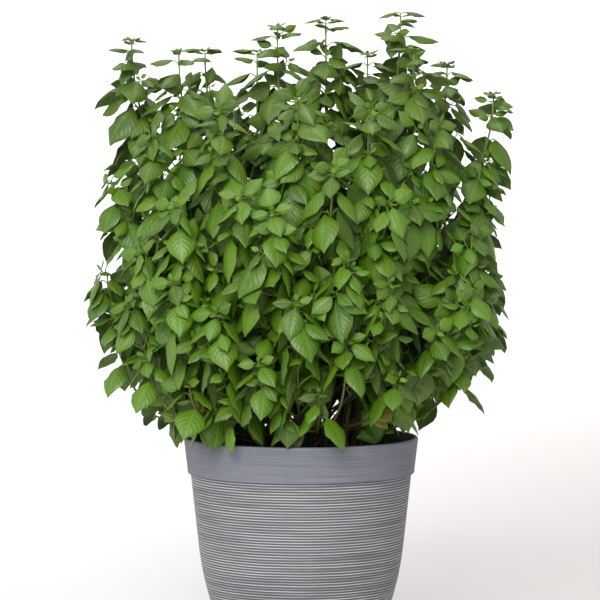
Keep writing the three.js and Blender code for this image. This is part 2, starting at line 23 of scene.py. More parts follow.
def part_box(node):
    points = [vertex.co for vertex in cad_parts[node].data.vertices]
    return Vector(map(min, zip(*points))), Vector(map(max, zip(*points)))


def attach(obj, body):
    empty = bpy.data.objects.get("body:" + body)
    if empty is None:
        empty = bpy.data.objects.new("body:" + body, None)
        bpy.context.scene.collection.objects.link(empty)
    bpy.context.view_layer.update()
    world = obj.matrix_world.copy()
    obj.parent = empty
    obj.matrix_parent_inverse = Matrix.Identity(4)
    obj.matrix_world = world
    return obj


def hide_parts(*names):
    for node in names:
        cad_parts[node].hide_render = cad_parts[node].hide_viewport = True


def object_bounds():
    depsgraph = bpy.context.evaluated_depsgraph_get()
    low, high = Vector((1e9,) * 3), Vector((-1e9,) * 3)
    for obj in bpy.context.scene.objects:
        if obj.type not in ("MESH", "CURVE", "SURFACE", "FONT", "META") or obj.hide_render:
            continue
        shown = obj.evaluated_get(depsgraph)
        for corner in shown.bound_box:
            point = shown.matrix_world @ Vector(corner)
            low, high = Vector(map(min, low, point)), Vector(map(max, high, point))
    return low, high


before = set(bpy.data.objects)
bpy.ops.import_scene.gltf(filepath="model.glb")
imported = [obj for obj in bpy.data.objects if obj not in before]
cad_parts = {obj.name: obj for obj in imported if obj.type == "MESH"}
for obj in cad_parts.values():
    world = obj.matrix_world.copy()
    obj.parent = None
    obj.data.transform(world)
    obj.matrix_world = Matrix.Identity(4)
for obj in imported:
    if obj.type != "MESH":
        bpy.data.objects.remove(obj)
CAD_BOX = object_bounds()

LOG = logging.getLogger("basil")
MM = 0.001
UP = Vector((0, 0, 1))
QUARTER = pi / 2
FULL_TURN = 2 * pi
BODY = "root"

Colour = tuple[int, int, int]
Couple = tuple[float, float]
Triple = tuple[float, float, float]
Keys = tuple[int, ...]
Socket = bpy.types.NodeSocket
Material = bpy.types.Material
BMesh = bmesh.types.BMesh
Piece = bpy.types.Object
Array = np.ndarray


# Chance

HASH_START = 0x9E3779B9
HASH_FIRST = 0x85EBCA6B
HASH_SECOND = 0xC2B2AE35
WORD = 0xFFFFFFFF


class Draw(IntEnum):
    """Keys that keep the draws of one leaf or stem apart."""

    TURN = 1
    SWAY = 2
    YAW = 3
    ROLL = 4
    HANG = 5
    SIZE = 6
    BREADTH = 7
    WOBBLE = 8
    PAIR = 10
    DIP = 20
    ROOT = 30
    TONE = 50
    WITHER = 51
    POINT = 52
    RUFFLE = 53
    PHASE = 54
    TWIST = 55
    CUP = 56
    TWIG = 60
    LENGTH = 61
    LEAN = 62
    GROW = 63
    AIR = 64


def chance(*keys: int) -> float:
    """A number from 0 to 1 that depends only on its keys.

    Args:
        keys: Whole numbers that name the draw.

    Returns:
        The draw.
    """
    bits = HASH_START
    for key in keys:
        bits = ((bits ^ key) * HASH_FIRST) & WORD
        bits ^= bits >> 13
        bits = (bits * HASH_SECOND) & WORD
        bits ^= bits >> 16
    return bits / 2**32


def spread(amount: float, *keys: int) -> float:
    """A chance between minus and plus an amount."""
    return amount * (2 * chance(*keys) - 1)


def clamp(value: float, low: float, high: float) -> float:
    """The value, kept between two limits."""
    return min(high, max(low, value))


def wrapped(angle: float) -> float:
    """The same angle between minus and plus half a turn."""
    return atan2(sin(angle), cos(angle))


# Shader tools


def linear(colour: Colour) -> tuple[float, ...]:
    """Turns a colour as a screen shows it, 0 to 255, into the light that a shader takes."""
    parts = [part / 255 for part in colour]
    return (*(p / 12.92 if p <= 0.04045 else ((p + 0.055) / 1.055) ** 2.4 for p in parts), 1.0)


class Shader:
    """Wires the nodes of one material, world or group."""

    def __init__(self, tree: bpy.types.NodeTree) -> None:
        """Keeps the tree that the nodes go into."""
        self.tree = tree

    def node(self, kind: str, inputs: dict[Any, Any] | None = None, **settings: Any) -> bpy.types.Node:
        """Adds a node.

        Args:
            kind: The node's type.
            inputs: A value or another node's output for each input, by its name or number.
            settings: The node's own properties.

        Returns:
            The new node.
        """
        node = self.tree.nodes.new(kind)
        for name, setting in settings.items():
            setattr(node, name, setting)
        for name, source in (inputs or {}).items():
            self.feed(node.inputs[name], source)
        return node

    def feed(self, socket: Socket, source: Any) -> None:
        """Links an output to a socket, or sets the socket's own value."""
        if isinstance(source, Socket):
            self.tree.links.new(source, socket)
        else:
            socket.default_value = source

    def math(self, operation: str, first: Any, second: Any = 0.0, third: Any = 0.0) -> Socket:
        """One step of arithmetic on numbers."""
        return self.node("ShaderNodeMath", {0: first, 1: second, 2: third}, operation=operation).outputs[0]

    def times(self, first: Any, second: Any) -> Socket:
        """Two numbers multiplied."""
        return self.math("MULTIPLY", first, second)

    def plus(self, first: Any, second: Any) -> Socket:
        """Two numbers added."""
        return self.math("ADD", first, second)

    def minus(self, first: Any, second: Any) -> Socket:
        """The second number taken from the first."""
        return self.math("SUBTRACT", first, second)

    def stretched(self, vector: Any, factors: Triple) -> Socket:
        """A vector whose parts are scaled apart."""
        return self.node("ShaderNodeVectorMath", {0: vector, 1: factors}, operation="MULTIPLY").outputs[0]

    def mixed(self, share: Any, *colours: Any) -> Socket:
        """A colour between two colours, each an output or as a screen shows it."""
        first, second = (linear(colour) if isinstance(colour, tuple) else colour for colour in colours)
        return self.node("ShaderNodeMix", {0: share, 6: first, 7: second}, data_type="RGBA").outputs[2]

    def eased(self, source: Any, low: float, high: float, start: float = 0.0, end: float = 1.0) -> Any:
        """Maps low to high onto start to end, level beyond them and smooth between."""
        inputs = dict(enumerate((source, low, high, start, end)))
        return self.node("ShaderNodeMapRange", inputs, interpolation_type="SMOOTHSTEP").outputs[0]

    def noise(self, vector: Any, scale: float, detail: float = 2.0, roughness: float = 0.5) -> Any:
        """Cloudy noise from 0 to 1."""
        inputs = {"Vector": vector, "Scale": scale, "Detail": detail, "Roughness": roughness}
        return self.node("ShaderNodeTexNoise", inputs).outputs[0]

    def place(self) -> Socket:
        """The surface's own place, in metres."""
        return self.node("ShaderNodeTexCoord").outputs["Object"]

    def attribute(self, name: str, output: str = "Fac") -> Socket:
        """A value that the piece's own mesh holds."""
        return self.node("ShaderNodeAttribute", attribute_name=name).outputs[output]

    def habits(self) -> Iterable[Socket]:
        """The three habits that the piece's own mesh holds, apart."""
        return self.node("ShaderNodeSeparateColor", {0: self.attribute("habit", "Color")}).outputs

    def dress(self, surface: bpy.types.Node, colour: Any, roughness: Any, *relief: Any) -> None:
        """Gives a surface its colour, its roughness and its fine relief.

        Args:
            surface: The Principled shader.
            colour: Its base colour.
            roughness: Its roughness.
            relief: The relief's strength, distance and height.
        """
        bump = dict(zip(("Strength", "Distance", "Height"), relief))
        normal = self.node("ShaderNodeBump", bump).outputs[0]
        for name, source in (("Base Color", colour), ("Roughness", roughness), ("Normal", normal)):
            self.feed(surface.inputs[name], source)


class Effect:
    """A shared shader effect, which turns a place and some numbers into other numbers."""

    def __init__(self, name: str, inputs: Iterable[str], outputs: Iterable[str]) -> None:
        """Opens an empty group.

        Args:
            name: The effect's name.
            inputs: The numbers that come in with the place.
            outputs: The numbers that go out.
        """
        self.tree = bpy.data.node_groups.new(name, "ShaderNodeTree")
        add = self.tree.interface.new_socket
        add(name="Place", in_out="INPUT", socket_type="NodeSocketVector")
        for side, labels in (("INPUT", inputs), ("OUTPUT", outputs)):
            for label in labels:
                add(name=label, in_out=side, socket_type="NodeSocketFloat")
        self.shader = Shader(self.tree)
        self.given = self.tree.nodes.new("NodeGroupInput").outputs
        self.result = self.tree.nodes.new("NodeGroupOutput").inputs

    def put(self, label: str, source: Any) -> None:
        """Sends a result out of the group."""
        self.shader.feed(self.result[label], source)


@cache
def vein_effect() -> bpy.types.NodeTree:
    """The veins of a blade: a midrib, and side veins that leave it in pairs and bow towards the tip.

    Returns:
        A group that takes the blade's own place and gives a vein mask and the swelling between the veins.
    """
    bow_power = 1.3
    side_vein_strength = 0.7
    swelling_power = 2.5
    effect = Effect("blade veins", ("Pairs", "Bow", "Width"), ("Vein", "Relief"))
    shader, given = effect.shader, effect.given
    run, breadth, _ = shader.node("ShaderNodeSeparateXYZ", {0: given["Place"]}).outputs
    across = shader.math("ABSOLUTE", shader.math("MULTIPLY_ADD", breadth, 2.0, -1.0))
    bowed = shader.times(shader.math("POWER", across, bow_power), given["Bow"])
    lane = shader.times(shader.minus(run, bowed), given["Pairs"])
    middle = shader.minus(shader.math("FRACT", lane), 0.5)
    nearness = shader.times(shader.math("ABSOLUTE", middle), 2.0)
    edge = shader.minus(1.0, given["Width"])
    line = shader.math("DIVIDE", shader.minus(nearness, edge), given["Width"])
    fading = shader.eased(across, 0.55, 0.98, 1.0, 0.0)
    side_vein = shader.times(shader.eased(line, 0.0, 1.0), fading)
    midrib = shader.eased(across, 0.035, 0.1, 1.0, 0.0)
    effect.put("Vein", shader.math("MAXIMUM", shader.times(side_vein, side_vein_strength), midrib))
    swelling = shader.minus(1.0, shader.math("POWER", nearness, swelling_power))
    levelling = shader.eased(across, 0.7, 1.0, 1.0, 0.35)
    inside = shader.times(shader.eased(across, 0.02, 0.3), levelling)
    effect.put("Relief", shader.times(swelling, inside))
    return effect.tree


@cache
def mottle_effect() -> bpy.types.NodeTree:
    """Cloudy patches and fine specks on any surface.

    Returns:
        A group that takes a place and the two scales, and gives both masks.
    """
    effect = Effect("mottle", ("Patches", "Specks"), ("Patch", "Speck"))
    shader, given = effect.shader, effect.given
    effect.put("Patch", shader.eased(shader.noise(given["Place"], given["Patches"], 3.0), 0.3, 0.7))
    effect.put("Speck", shader.eased(shader.noise(given["Place"], given["Specks"], 2.0), 0.35, 0.75))
    return effect.tree


def mottle_of(shader: Shader, place: Any, patches: float, specks: float) -> Iterable[Socket]:
    """The patches and the specks of a finish, each at its own scale."""
    inputs = {"Place": place, "Patches": patches, "Specks": specks}
    return shader.node("ShaderNodeGroup", inputs, node_tree=mottle_effect()).outputs


def new_material(name: str) -> tuple[Material, Shader, bpy.types.Node]:
    """Starts a material on its Principled shader.

    Args:
        name: The finish's name.

    Returns:
        The material, its wiring and its surface shader.
    """
    material = bpy.data.materials.new(name)
    material.use_nodes = True
    return material, Shader(material.node_tree), material.node_tree.nodes["Principled BSDF"]


# Finishes


@dataclass(frozen=True)
class LeafFinish:
    """One side of a basil blade. The habit attribute holds its tone, which is darker high in the crown
    partly as painted shade, its youth and how withered it is.
    """

    name: str
    deep: Colour
    mature: Colour
    young: Colour
    withered: Colour
    vein: Colour
    vein_strength: float
    roughness: float
    gloss: float
    relief: float
    relief_depth: float = 0.0012
    vein_pairs: float = 6.5
    vein_bow: float = 0.34
    vein_width: float = 0.26
    patch_scale: float = 60.0
    speck_scale: float = 900.0
    patchiness: float = 0.3
    dullness: float = 0.12
    grain: float = 0.5

    def build(self) -> Material:
        """Makes the material.

        Returns:
            The finished material.
        """
        material, shader, surface = new_material(self.name)
        tone, youth, wither = shader.habits()
        lanes = {"Pairs": self.vein_pairs, "Bow": self.vein_bow, "Width": self.vein_width}
        blade = shader.node("ShaderNodeUVMap", uv_map="blade").outputs[0]
        veins = shader.node("ShaderNodeGroup", {"Place": blade, **lanes}, node_tree=vein_effect())
        vein, relief = veins.outputs
        patch, speck = mottle_of(shader, shader.place(), self.patch_scale, self.speck_scale)
        # The tone mixes the deep and the mature greens. High in the crown it carries painted shade.
        grown = shader.mixed(tone, self.deep, self.mature)
        grown = shader.mixed(shader.times(patch, self.patchiness), grown, self.mature)
        fresh = shader.mixed(youth, grown, self.young)
        veined = shader.mixed(shader.times(vein, self.vein_strength), fresh, self.vein)
        dry = shader.times(wither, shader.eased(patch, 0.0, 0.5, 0.5, 1.0))
        roughness = shader.plus(shader.times(speck, self.dullness), self.roughness)
        height = shader.plus(relief, shader.times(patch, self.grain))
        colour = shader.mixed(dry, veined, self.withered)
        shader.dress(surface, colour, roughness, self.relief, self.relief_depth, height)
        surface.inputs["Specular IOR Level"].default_value = self.gloss
        return material


@dataclass(frozen=True)
class StemFinish:
    """A square stem, brown and woody near the soil and yellow-green near its tip."""

    name: str
    woody: Colour
    green: Colour
    tender: Colour
    roughness: float
    streaks: Triple = (900.0, 900.0, 60.0)
    relief: float = 0.35
    relief_depth: float = 0.0005

    def build(self) -> Material:
        """Makes the material.

        Returns:
            The finished material.
        """
        material, shader, surface = new_material(self.name)
        _, youth, wood = shader.habits()
        streaks = shader.noise(shader.stretched(shader.place(), self.streaks), 1.0, 3.0)
        green = shader.mixed(youth, self.green, self.tender)
        bark = shader.times(wood, shader.eased(streaks, 0.25, 0.6, 0.55, 1.0))
        colour = shader.mixed(bark, green, self.woody)
        shader.dress(surface, colour, self.roughness, self.relief, self.relief_depth, streaks)
        return material


@dataclass(frozen=True)
class PlanterFinish:
    """Matt grey plastic. Its rib crests are painted pale as a highlight, and its grooves are painted dark as
    shade.
    """

    name: str
    band: Colour
    # The grooves' colour is painted shade. The crests' colour is a painted highlight, and the dust specks
    # take it too.
    groove: Colour
    crest: Colour
    # The dark brown painted on the inner wall near and above the soil.
    inner_brown: Colour
    roughness: float
    gloss: float = 0.4
    combing: Triple = (7.0, 7.0, 330.0)
    brushing: Triple = (9.0, 9.0, 700.0)
    patch_scale: float = 14.0
    speck_scale: float = 1400.0
    paler: int = 16
    darker: int = 9
    patchiness: float = 0.4
    dust: float = 0.08
    unevenness: float = 0.16
    relief: float = 0.3
    relief_depth: float = 0.0004

    def build(self) -> Material:
        """Makes the material. The crest attribute is 1 on a rib, 0 in a groove and below 0 elsewhere.

        Returns:
            The finished material.
        """
        material, shader, surface = new_material(self.name)
        place = shader.place()
        crest = shader.attribute("crest")
        combed = shader.noise(shader.stretched(place, self.combing), 1.0, 3.0, 0.6)
        brushed = shader.noise(shader.stretched(place, self.brushing), 1.0, 4.0, 0.65)
        patch, speck = mottle_of(shader, place, self.patch_scale, self.speck_scale)
        # Painted light on the ribs: a highlight on each crest that varies along the combing, and shade in
        # the grooves.
        crest_highlight_strength = shader.eased(combed, 0.3, 0.62, 0.35, 1.0)
        painted_crest_highlight = shader.times(shader.eased(crest, 0.45, 0.95), crest_highlight_strength)
        ribs = shader.mixed(painted_crest_highlight, self.groove, self.crest)
        pale = tuple(part + self.paler for part in self.band)
        dark = tuple(part - self.darker for part in self.band)
        streaky = shader.mixed(shader.eased(brushed, 0.3, 0.7), dark, pale)
        smooth = shader.mixed(shader.times(patch, self.patchiness), streaky, self.band)
        coloured = shader.mixed(shader.eased(crest, -0.6, -0.1), smooth, ribs)
        dusted = shader.mixed(shader.times(speck, self.dust), coloured, self.crest)
        # The inner wall near and above the soil is painted dark brown almost all over, in cloudy patches.
        inner_brown = shader.times(shader.attribute("inside"), shader.eased(patch, 0.0, 0.6, 0.72, 1.0))
        roughness = shader.plus(shader.times(brushed, self.unevenness), self.roughness)
        height = shader.plus(brushed, shader.times(speck, 0.3))
        colour = shader.mixed(inner_brown, dusted, self.inner_brown)
        shader.dress(surface, colour, roughness, self.relief, self.relief_depth, height)
        surface.inputs["Specular IOR Level"].default_value = self.gloss
        return material


@dataclass(frozen=True)
class SoilFinish:
    """Damp potting soil with paler fibre and bark."""

    name: str
    damp: Colour
    dry: Colour
    bark: Colour
    roughness: float = 0.95
    patch_scale: float = 90.0
    speck_scale: float = 700.0
    dryness: float = 0.6
    relief: float = 0.8
    relief_depth: float = 0.0015

    def build(self) -> Material:
        """Makes the material. The habit attribute holds each crumb's tone and whether it is bark.

        Returns:
            The finished material.
        """
        material, shader, surface = new_material(self.name)
        tone, woody, _ = shader.habits()
        patch, speck = mottle_of(shader, shader.place(), self.patch_scale, self.speck_scale)
        earth = shader.mixed(patch, self.damp, self.dry)
        crumbs = shader.mixed(shader.times(tone, self.dryness), earth, self.dry)
        colour = shader.mixed(woody, crumbs, self.bark)
        shader.dress(surface, colour, self.roughness, self.relief, self.relief_depth, speck)
        return material


UPPER_LEAF = LeafFinish(
    name="basil leaf, upper side",
    deep=(48, 80, 2),
    mature=(82, 121, 10),
    young=(98, 138, 22),
    withered=(142, 116, 44),
    vein=(136, 168, 76),
    vein_strength=0.2,
    roughness=0.41,
    gloss=0.55,
    relief=0.36,
)
UNDER_LEAF = LeafFinish(
    name="basil leaf, underside",
    deep=(80, 106, 42),
    mature=(102, 131, 62),
    young=(134, 168, 66),
    withered=(160, 132, 70),
    vein=(164, 192, 110),
    vein_strength=0.5,
    roughness=0.58,
    gloss=0.5,
    relief=0.3,
)
STEM_SKIN = StemFinish(
    name="basil stem", woody=(74, 60, 32), green=(76, 98, 30), tender=(118, 146, 52), roughness=0.5
)
PLANTER_PLASTIC = PlanterFinish(
    name="grey planter",
    band=(108, 110, 121),
    groove=(80, 81, 85),
    crest=(208, 208, 210),
    inner_brown=(46, 36, 28),
    roughness=0.56,
)
POTTING_SOIL = SoilFinish(name="potting soil", damp=(30, 22, 17), dry=(62, 47, 36), bark=(104, 68, 44))


# Meshes


def coordinates(mesh: bpy.types.Mesh) -> Array:
    """A mesh's corners, one row each."""
    flat = np.empty(len(mesh.vertices) * 3, np.float64)
    mesh.vertices.foreach_get("co", flat)
    return flat.reshape(-1, 3)


def mesh_of(bm: BMesh, name: str) -> bpy.types.Mesh:
    """Turns a finished bmesh into a mesh and frees it."""
    mesh = bpy.data.meshes.new(name)
    bm.to_mesh(mesh)
    bm.free()
    return mesh


def turned(bm: BMesh, profile: Iterable[Couple], steps: int) -> None:
    """Turns a profile once round the upright axis.

    Args:
        bm: The bmesh that takes the shape.
        profile: Points as distance from the axis and height.
        steps: Faces round the shape.
    """
    section = [bm.verts.new((r, 0, z)) for r, z in profile]
    edges = [bm.edges.new(pair) for pair in pairwise(section)]
    around = {"cent": (0, 0, 0), "axis": UP, "angle": FULL_TURN, "steps": steps}
    bmesh.ops.spin(bm, geom=[*section, *edges], use_merge=True, **around)


def linked(name: str, mesh: bpy.types.Mesh, materials: Iterable[Material]) -> Piece:
    """Puts a mesh in the scene, smooth and dressed.

    Args:
        name: The piece's name.
        mesh: Its mesh, already in place.
        materials: Its materials, in the order of the faces' numbers.

    Returns:
        The new object.
    """
    for material in materials:
        mesh.materials.append(material)
    mesh.shade_smooth()
    piece = bpy.data.objects.new(name, mesh)
    bpy.context.scene.collection.objects.link(piece)
    return piece


class Pattern:
    """A small mesh that is repeated. Its corners are plain shares until each copy puts them in place."""

    def __init__(self, bm: BMesh, name: str) -> None:
        """Keeps the mesh and its corners."""
        self.mesh = mesh_of(bm, name)
        self.shares = coordinates(self.mesh)


class Surface(IntEnum):
    """The materials of a leafy stem, in order."""

    UPPER = 0
    UNDER = 1
    STEM = 2


@cache
def blade_pattern(rows: int, columns: int) -> Pattern:
    """A closed leaf: x runs along it from 0 to 1, y across it from -1 to 1, and z is 1 above and -1 below.

    Args:
        rows: Faces along the blade.
        columns: Faces across it.

    Returns:
        The pattern, with its blade UV map.
    """
    base_crowding = 1.35
    tip_crowding = 0.06
    trough = 0.82
    close = 1e-4
    bm = bmesh.new()
    blade = bm.loops.layers.uv.new("blade")
    bmesh.ops.create_grid(bm, x_segments=rows, y_segments=columns, size=1)
    for vert in bm.verts:
        run = clamp((vert.co.x + 1) / 2, 0, 1) ** base_crowding
        across = copysign(abs(vert.co.y) ** trough, vert.co.y)
        vert.co = (run - tip_crowding * sin(FULL_TURN * run), across, 0)
    for face in bm.faces:
        for loop in face.loops:
            loop[blade].uv = (loop.vert.co.x, (loop.vert.co.y + 1) / 2)
    for vert in bm.verts:
        if not vert.is_boundary:
            vert.co.z = 1
        if not close <= vert.co.x <= 1 - close:
            vert.co.y = 0
    under = bmesh.ops.duplicate(bm, geom=bm.verts[:] + bm.edges[:] + bm.faces[:])["geom"]
    for element in under:
        if isinstance(element, bmesh.types.BMVert):
            element.co.z *= -1
        elif isinstance(element, bmesh.types.BMFace):
            element.material_index = Surface.UNDER
    bmesh.ops.reverse_faces(bm, faces=[e for e in under if isinstance(e, bmesh.types.BMFace)])
    bmesh.ops.remove_doubles(bm, verts=bm.verts[:], dist=close / 10)
    for edge in bm.edges:
        edge.smooth = len({face.material_index for face in edge.link_faces}) == 1
    return Pattern(bm, "blade")


@cache
def tube_pattern(sides: int, rings: int) -> Pattern:
    """A closed tube: x and y lie on the unit circle, and z runs along it from 0 to 1.

    Args:
        sides: Faces round the tube.
        rings: Rings of corners along it.

    Returns:
        The pattern, in the stem's material.
    """
    bm = bmesh.new()
    bm.loops.layers.uv.new("blade")
    bmesh.ops.create_cone(bm, cap_ends=True, segments=sides, radius1=1, radius2=1, depth=1)
    bmesh.ops.translate(bm, verts=bm.verts[:], vec=(0, 0, 0.5))
    upright = [edge for edge in bm.edges if abs(edge.verts[0].co.z - edge.verts[1].co.z) > 0.5]
    if rings > 2:
        bmesh.ops.subdivide_edges(bm, edges=upright, cuts=rings - 2, use_grid_fill=True)
    for face in bm.faces:
        face.material_index = Surface.STEM
    return Pattern(bm, "tube")


class Gathering:
    """Copies of patterns that become one mesh."""

    def __init__(self) -> None:
        """Starts empty."""
        self.bm = bmesh.new()
        self.bm.loops.layers.uv.new("blade")
        self.places: list[Array] = []
        self.habits: list[Array] = []

    def add(self, pattern: Pattern, places: Array, habits: Array) -> None:
        """Adds copies of a pattern.

        Args:
            pattern: What is copied.
            places: Each copy's corners in millimetres, as copies × corners × 3.
            habits: Each copy's or corner's three habits, as copies × (1 or corners) × 3.
        """
        for _ in range(len(places)):
            self.bm.from_mesh(pattern.mesh)
        self.places.append(places.reshape(-1, 3))
        self.habits.append(np.broadcast_to(habits, places.shape).reshape(-1, 3))

    def piece(self, name: str, materials: Iterable[Material]) -> Piece:
        """Puts every copy's corners in place.

        Args:
            name: The piece's name.
            materials: Its materials.

        Returns:
            The finished piece.
        """
        mesh = mesh_of(self.bm, name)
        mesh.vertices.foreach_set("co", (np.concatenate(self.places) * MM).ravel())
        habit = mesh.attributes.new("habit", "FLOAT_COLOR", "POINT")
        shown = np.concatenate(self.habits)
        habit.data.foreach_set("color", np.column_stack([shown, np.ones(len(shown))]).ravel())
        mesh.update()
        return linked(name, mesh, materials)


# Planter and soil


def arc(centre: Couple, radius: float, start: float, end: float, steps: int) -> Iterator[Couple]:
    """Points on an arc of a profile.

    Args:
        centre: The arc's centre, as distance from the axis and height.
        radius: Its radius.
        start: Its first angle, in degrees.
        end: Its last angle.
        steps: How many steps it takes.

    Yields:
        Each point, as distance from the axis and height.
    """
    for i in range(steps + 1):
        angle = radians(start + (end - start) * i / steps)
        yield centre[0] + radius * cos(angle), centre[1] + radius * sin(angle)


@dataclass
class Planter:
    """The pot, in millimetres: a smooth rim band over a tapered body that is combed into fine ribs."""

    height: float = field(default_factory=lambda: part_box("pot")[1].z / MM)
    rim_radius: float = field(default_factory=lambda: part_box("pot")[1].x / MM)
    band_height: float = 46
    band_foot_radius: float = 144.5
    step_inset: float = 1.5
    step_gap: float = 0.2
    step_rise: float = 1.9
    step_rounding: float = 1.6
    band_start: float = 4
    band_run: float = 37
    body_top_radius: float = 141
    knee_height: float = 130
    knee_radius: float = 130.6
    base_radius: float = 92
    base_rounding: float = 5
    wall: float = 6
    rim_wall: float = 5
    floor: float = 8
    lip: float = 2.4
    wall_steps: int = 10
    rib_pitch: float = 3.45
    rib_depth: float = 0.9
    rib_stages: int = 4
    first_rib: float = 8
    slack: float = 0.1
    inner_brown_reach: float = 20
    wander: float = 0.32
    wander_turns: float = 3
    wander_length: float = 26
    unevenness: float = 0.2
    uneven_turns: float = 5
    uneven_length: float = 2.2
    drain_count: int = 4
    drain_radius: float = 7
    drain_circle: float = 52
    drain_sides: int = 20
    sides: int = 128

    def __post_init__(self) -> None:
        """Works out the height of the band's foot."""
        self.band_foot = self.height - self.band_height

    def body_radius(self, z: float) -> float:
        """The body's outer radius at a height, without its grooves.

        Args:
            z: The height.

        Returns:
            The radius.
        """
        taper = (self.body_top_radius - self.knee_radius) / (self.band_foot - self.knee_height)
        if z >= self.knee_height:
            return self.knee_radius + (z - self.knee_height) * taper
        below = (self.knee_height - z) / self.knee_height
        missing = self.knee_radius - self.knee_height * taper - self.base_radius
        return self.knee_radius - (self.knee_height - z) * taper - missing * below**2

    def inner_radius(self, z: float) -> float:
        """The inner wall's radius at a height above the band's foot."""
        top = self.rim_radius - self.rim_wall
        foot = self.body_radius(self.band_foot) - self.wall
        return foot + (top - foot) * (z - self.band_foot) / (self.height - self.lip - self.band_foot)

    def inner_wall(self) -> list[Couple]:
        """The inner wall under the band, from its top down to the floor."""
        heights = [self.band_foot * (1 - i / self.wall_steps) for i in range(self.wall_steps)]
        wall = [(self.body_radius(z) - self.wall, z) for z in heights]
        return [*wall, (self.base_radius - self.wall, self.floor)]

    def ribs(self) -> Iterator[Couple]:
        """The combed body, a few points to a rib.

        Yields:
            Each point of the profile.
        """
        count = round((self.band_foot - self.first_rib) / self.rib_pitch)
        pitch = (self.band_foot - self.first_rib) / count
        for i in range(self.rib_stages * count + 1):
            z = self.first_rib + i * pitch / self.rib_stages
            crest = (1 - cos(FULL_TURN * i / self.rib_stages)) / 2
            yield self.body_radius(z) - self.rib_depth * (1 - crest), z

    def profile(self) -> list[Couple]:
        """The wall's section, from the outer edge of the base over the rim and down to the floor.

        Returns:
            Its points, as distance from the axis and height.
        """
        rounding, foot, low = self.base_rounding, self.band_foot_radius, self.band_foot
        under, widening = foot - self.step_inset, self.rim_radius - foot
        inner, top = self.rim_radius - self.rim_wall, self.height - self.lip
        band_shares = (0, 0.33, 0.66, 1)
        return [
            *arc((self.base_radius - rounding, rounding), rounding, -90, -8, 4),
            *self.ribs(),
            (under, low + self.step_gap),
            *arc((under, low + self.step_rise), self.step_rounding, -80, -4, 4),
            *((foot + widening * s, low + self.band_start + self.band_run * s) for s in band_shares),
            *arc((self.rim_radius - self.lip, top), self.lip, 0, 80, 5),
            *arc((inner + self.lip, top), self.lip, 100, 180, 5),
            *((self.inner_radius(self.height - depth), self.height - depth) for depth in (12, 28)),
            *self.inner_wall(),
        ]

    def crest_at(self, place: Vector) -> float:
        """How far up its rib a point of the combed body is, or -1 where there are no ribs."""
        rise = hypot(place.x, place.y) - (self.body_radius(place.z) - self.rib_depth)
        level = self.first_rib - self.slack <= place.z <= self.band_foot + self.slack
        return clamp(rise / self.rib_depth, 0, 1) if level and rise > -self.slack else -1.0

    def inside_at(self, place: Vector) -> float:
        """1 on the inner wall from a little below the band's foot up to just under the lip, and 0 elsewhere.
        """
        inner = hypot(place.x, place.y) < self.inner_radius(place.z) + 1
        return float(inner and self.band_foot - self.inner_brown_reach < place.z < self.height - self.lip - 1)

    def comb(self, vert: bmesh.types.BMVert, crest: float) -> None:
        """Moves a rib's point as an uneven comb would.

        Args:
            vert: The point.
            crest: How far up its rib it is.
        """
        out = Vector((vert.co.x, vert.co.y, 0)).normalized()
        along = out * self.wander_turns + UP * (vert.co.z / self.wander_length)
        vert.co.z += self.wander * noise.noise(along)
        across = out * self.uneven_turns + UP * (vert.co.z / self.uneven_length)
        vert.co += out * crest * self.unevenness * noise.noise(across)

    def cut_drains(self, bm: BMesh) -> None:
        """Closes the base and the floor round the drain holes, and lines the holes.

        Args:
            bm: The pot's wall, open at both its inner ends.
        """
        open_edges = [edge for edge in bm.edges if edge.is_boundary]
        rings: dict[float, list[list[bmesh.types.BMEdge]]] = {0.0: [], self.floor: []}
        hole = {"segments": self.drain_sides, "radius": self.drain_radius}
        for z, ring in rings.items():
            outer = [e for e in open_edges if all(abs(v.co.z - z) < self.slack for v in e.verts)]
            for i in range(self.drain_count):
                angle = (i + 0.5) * FULL_TURN / self.drain_count
                offset = (self.drain_circle * cos(angle), self.drain_circle * sin(angle), z)
                drilled = bmesh.ops.create_circle(bm, matrix=Matrix.Translation(offset), **hole)
                ring.append(list({edge for vert in drilled["verts"] for edge in vert.link_edges}))
            edges = [*outer, *(edge for circle in ring for edge in circle)]
            bmesh.ops.triangle_fill(bm, use_beauty=True, edges=edges)
        for lower, upper in zip(*rings.values()):
            bmesh.ops.bridge_loops(bm, edges=[*lower, *upper])

    def build(self) -> Piece:
        """Turns, combs and drills the pot.

        Returns:
            The finished piece.
        """
        bm = bmesh.new()
        turned(bm, self.profile(), self.sides)
        crest = bm.verts.layers.float.new("crest")
        inside = bm.verts.layers.float.new("inside")
        for vert in bm.verts:
            vert[crest] = self.crest_at(vert.co)
            vert[inside] = self.inside_at(vert.co)
            if vert[crest] >= 0:
                self.comb(vert, vert[crest])
        self.cut_drains(bm)
        bmesh.ops.recalc_face_normals(bm, faces=bm.faces[:])
        bmesh.ops.scale(bm, vec=(MM, MM, MM), verts=bm.verts[:])
        piece = linked("planter", mesh_of(bm, "planter"), [PLANTER_PLASTIC.build()])
        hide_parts("pot")
        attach(piece, BODY)
        return piece


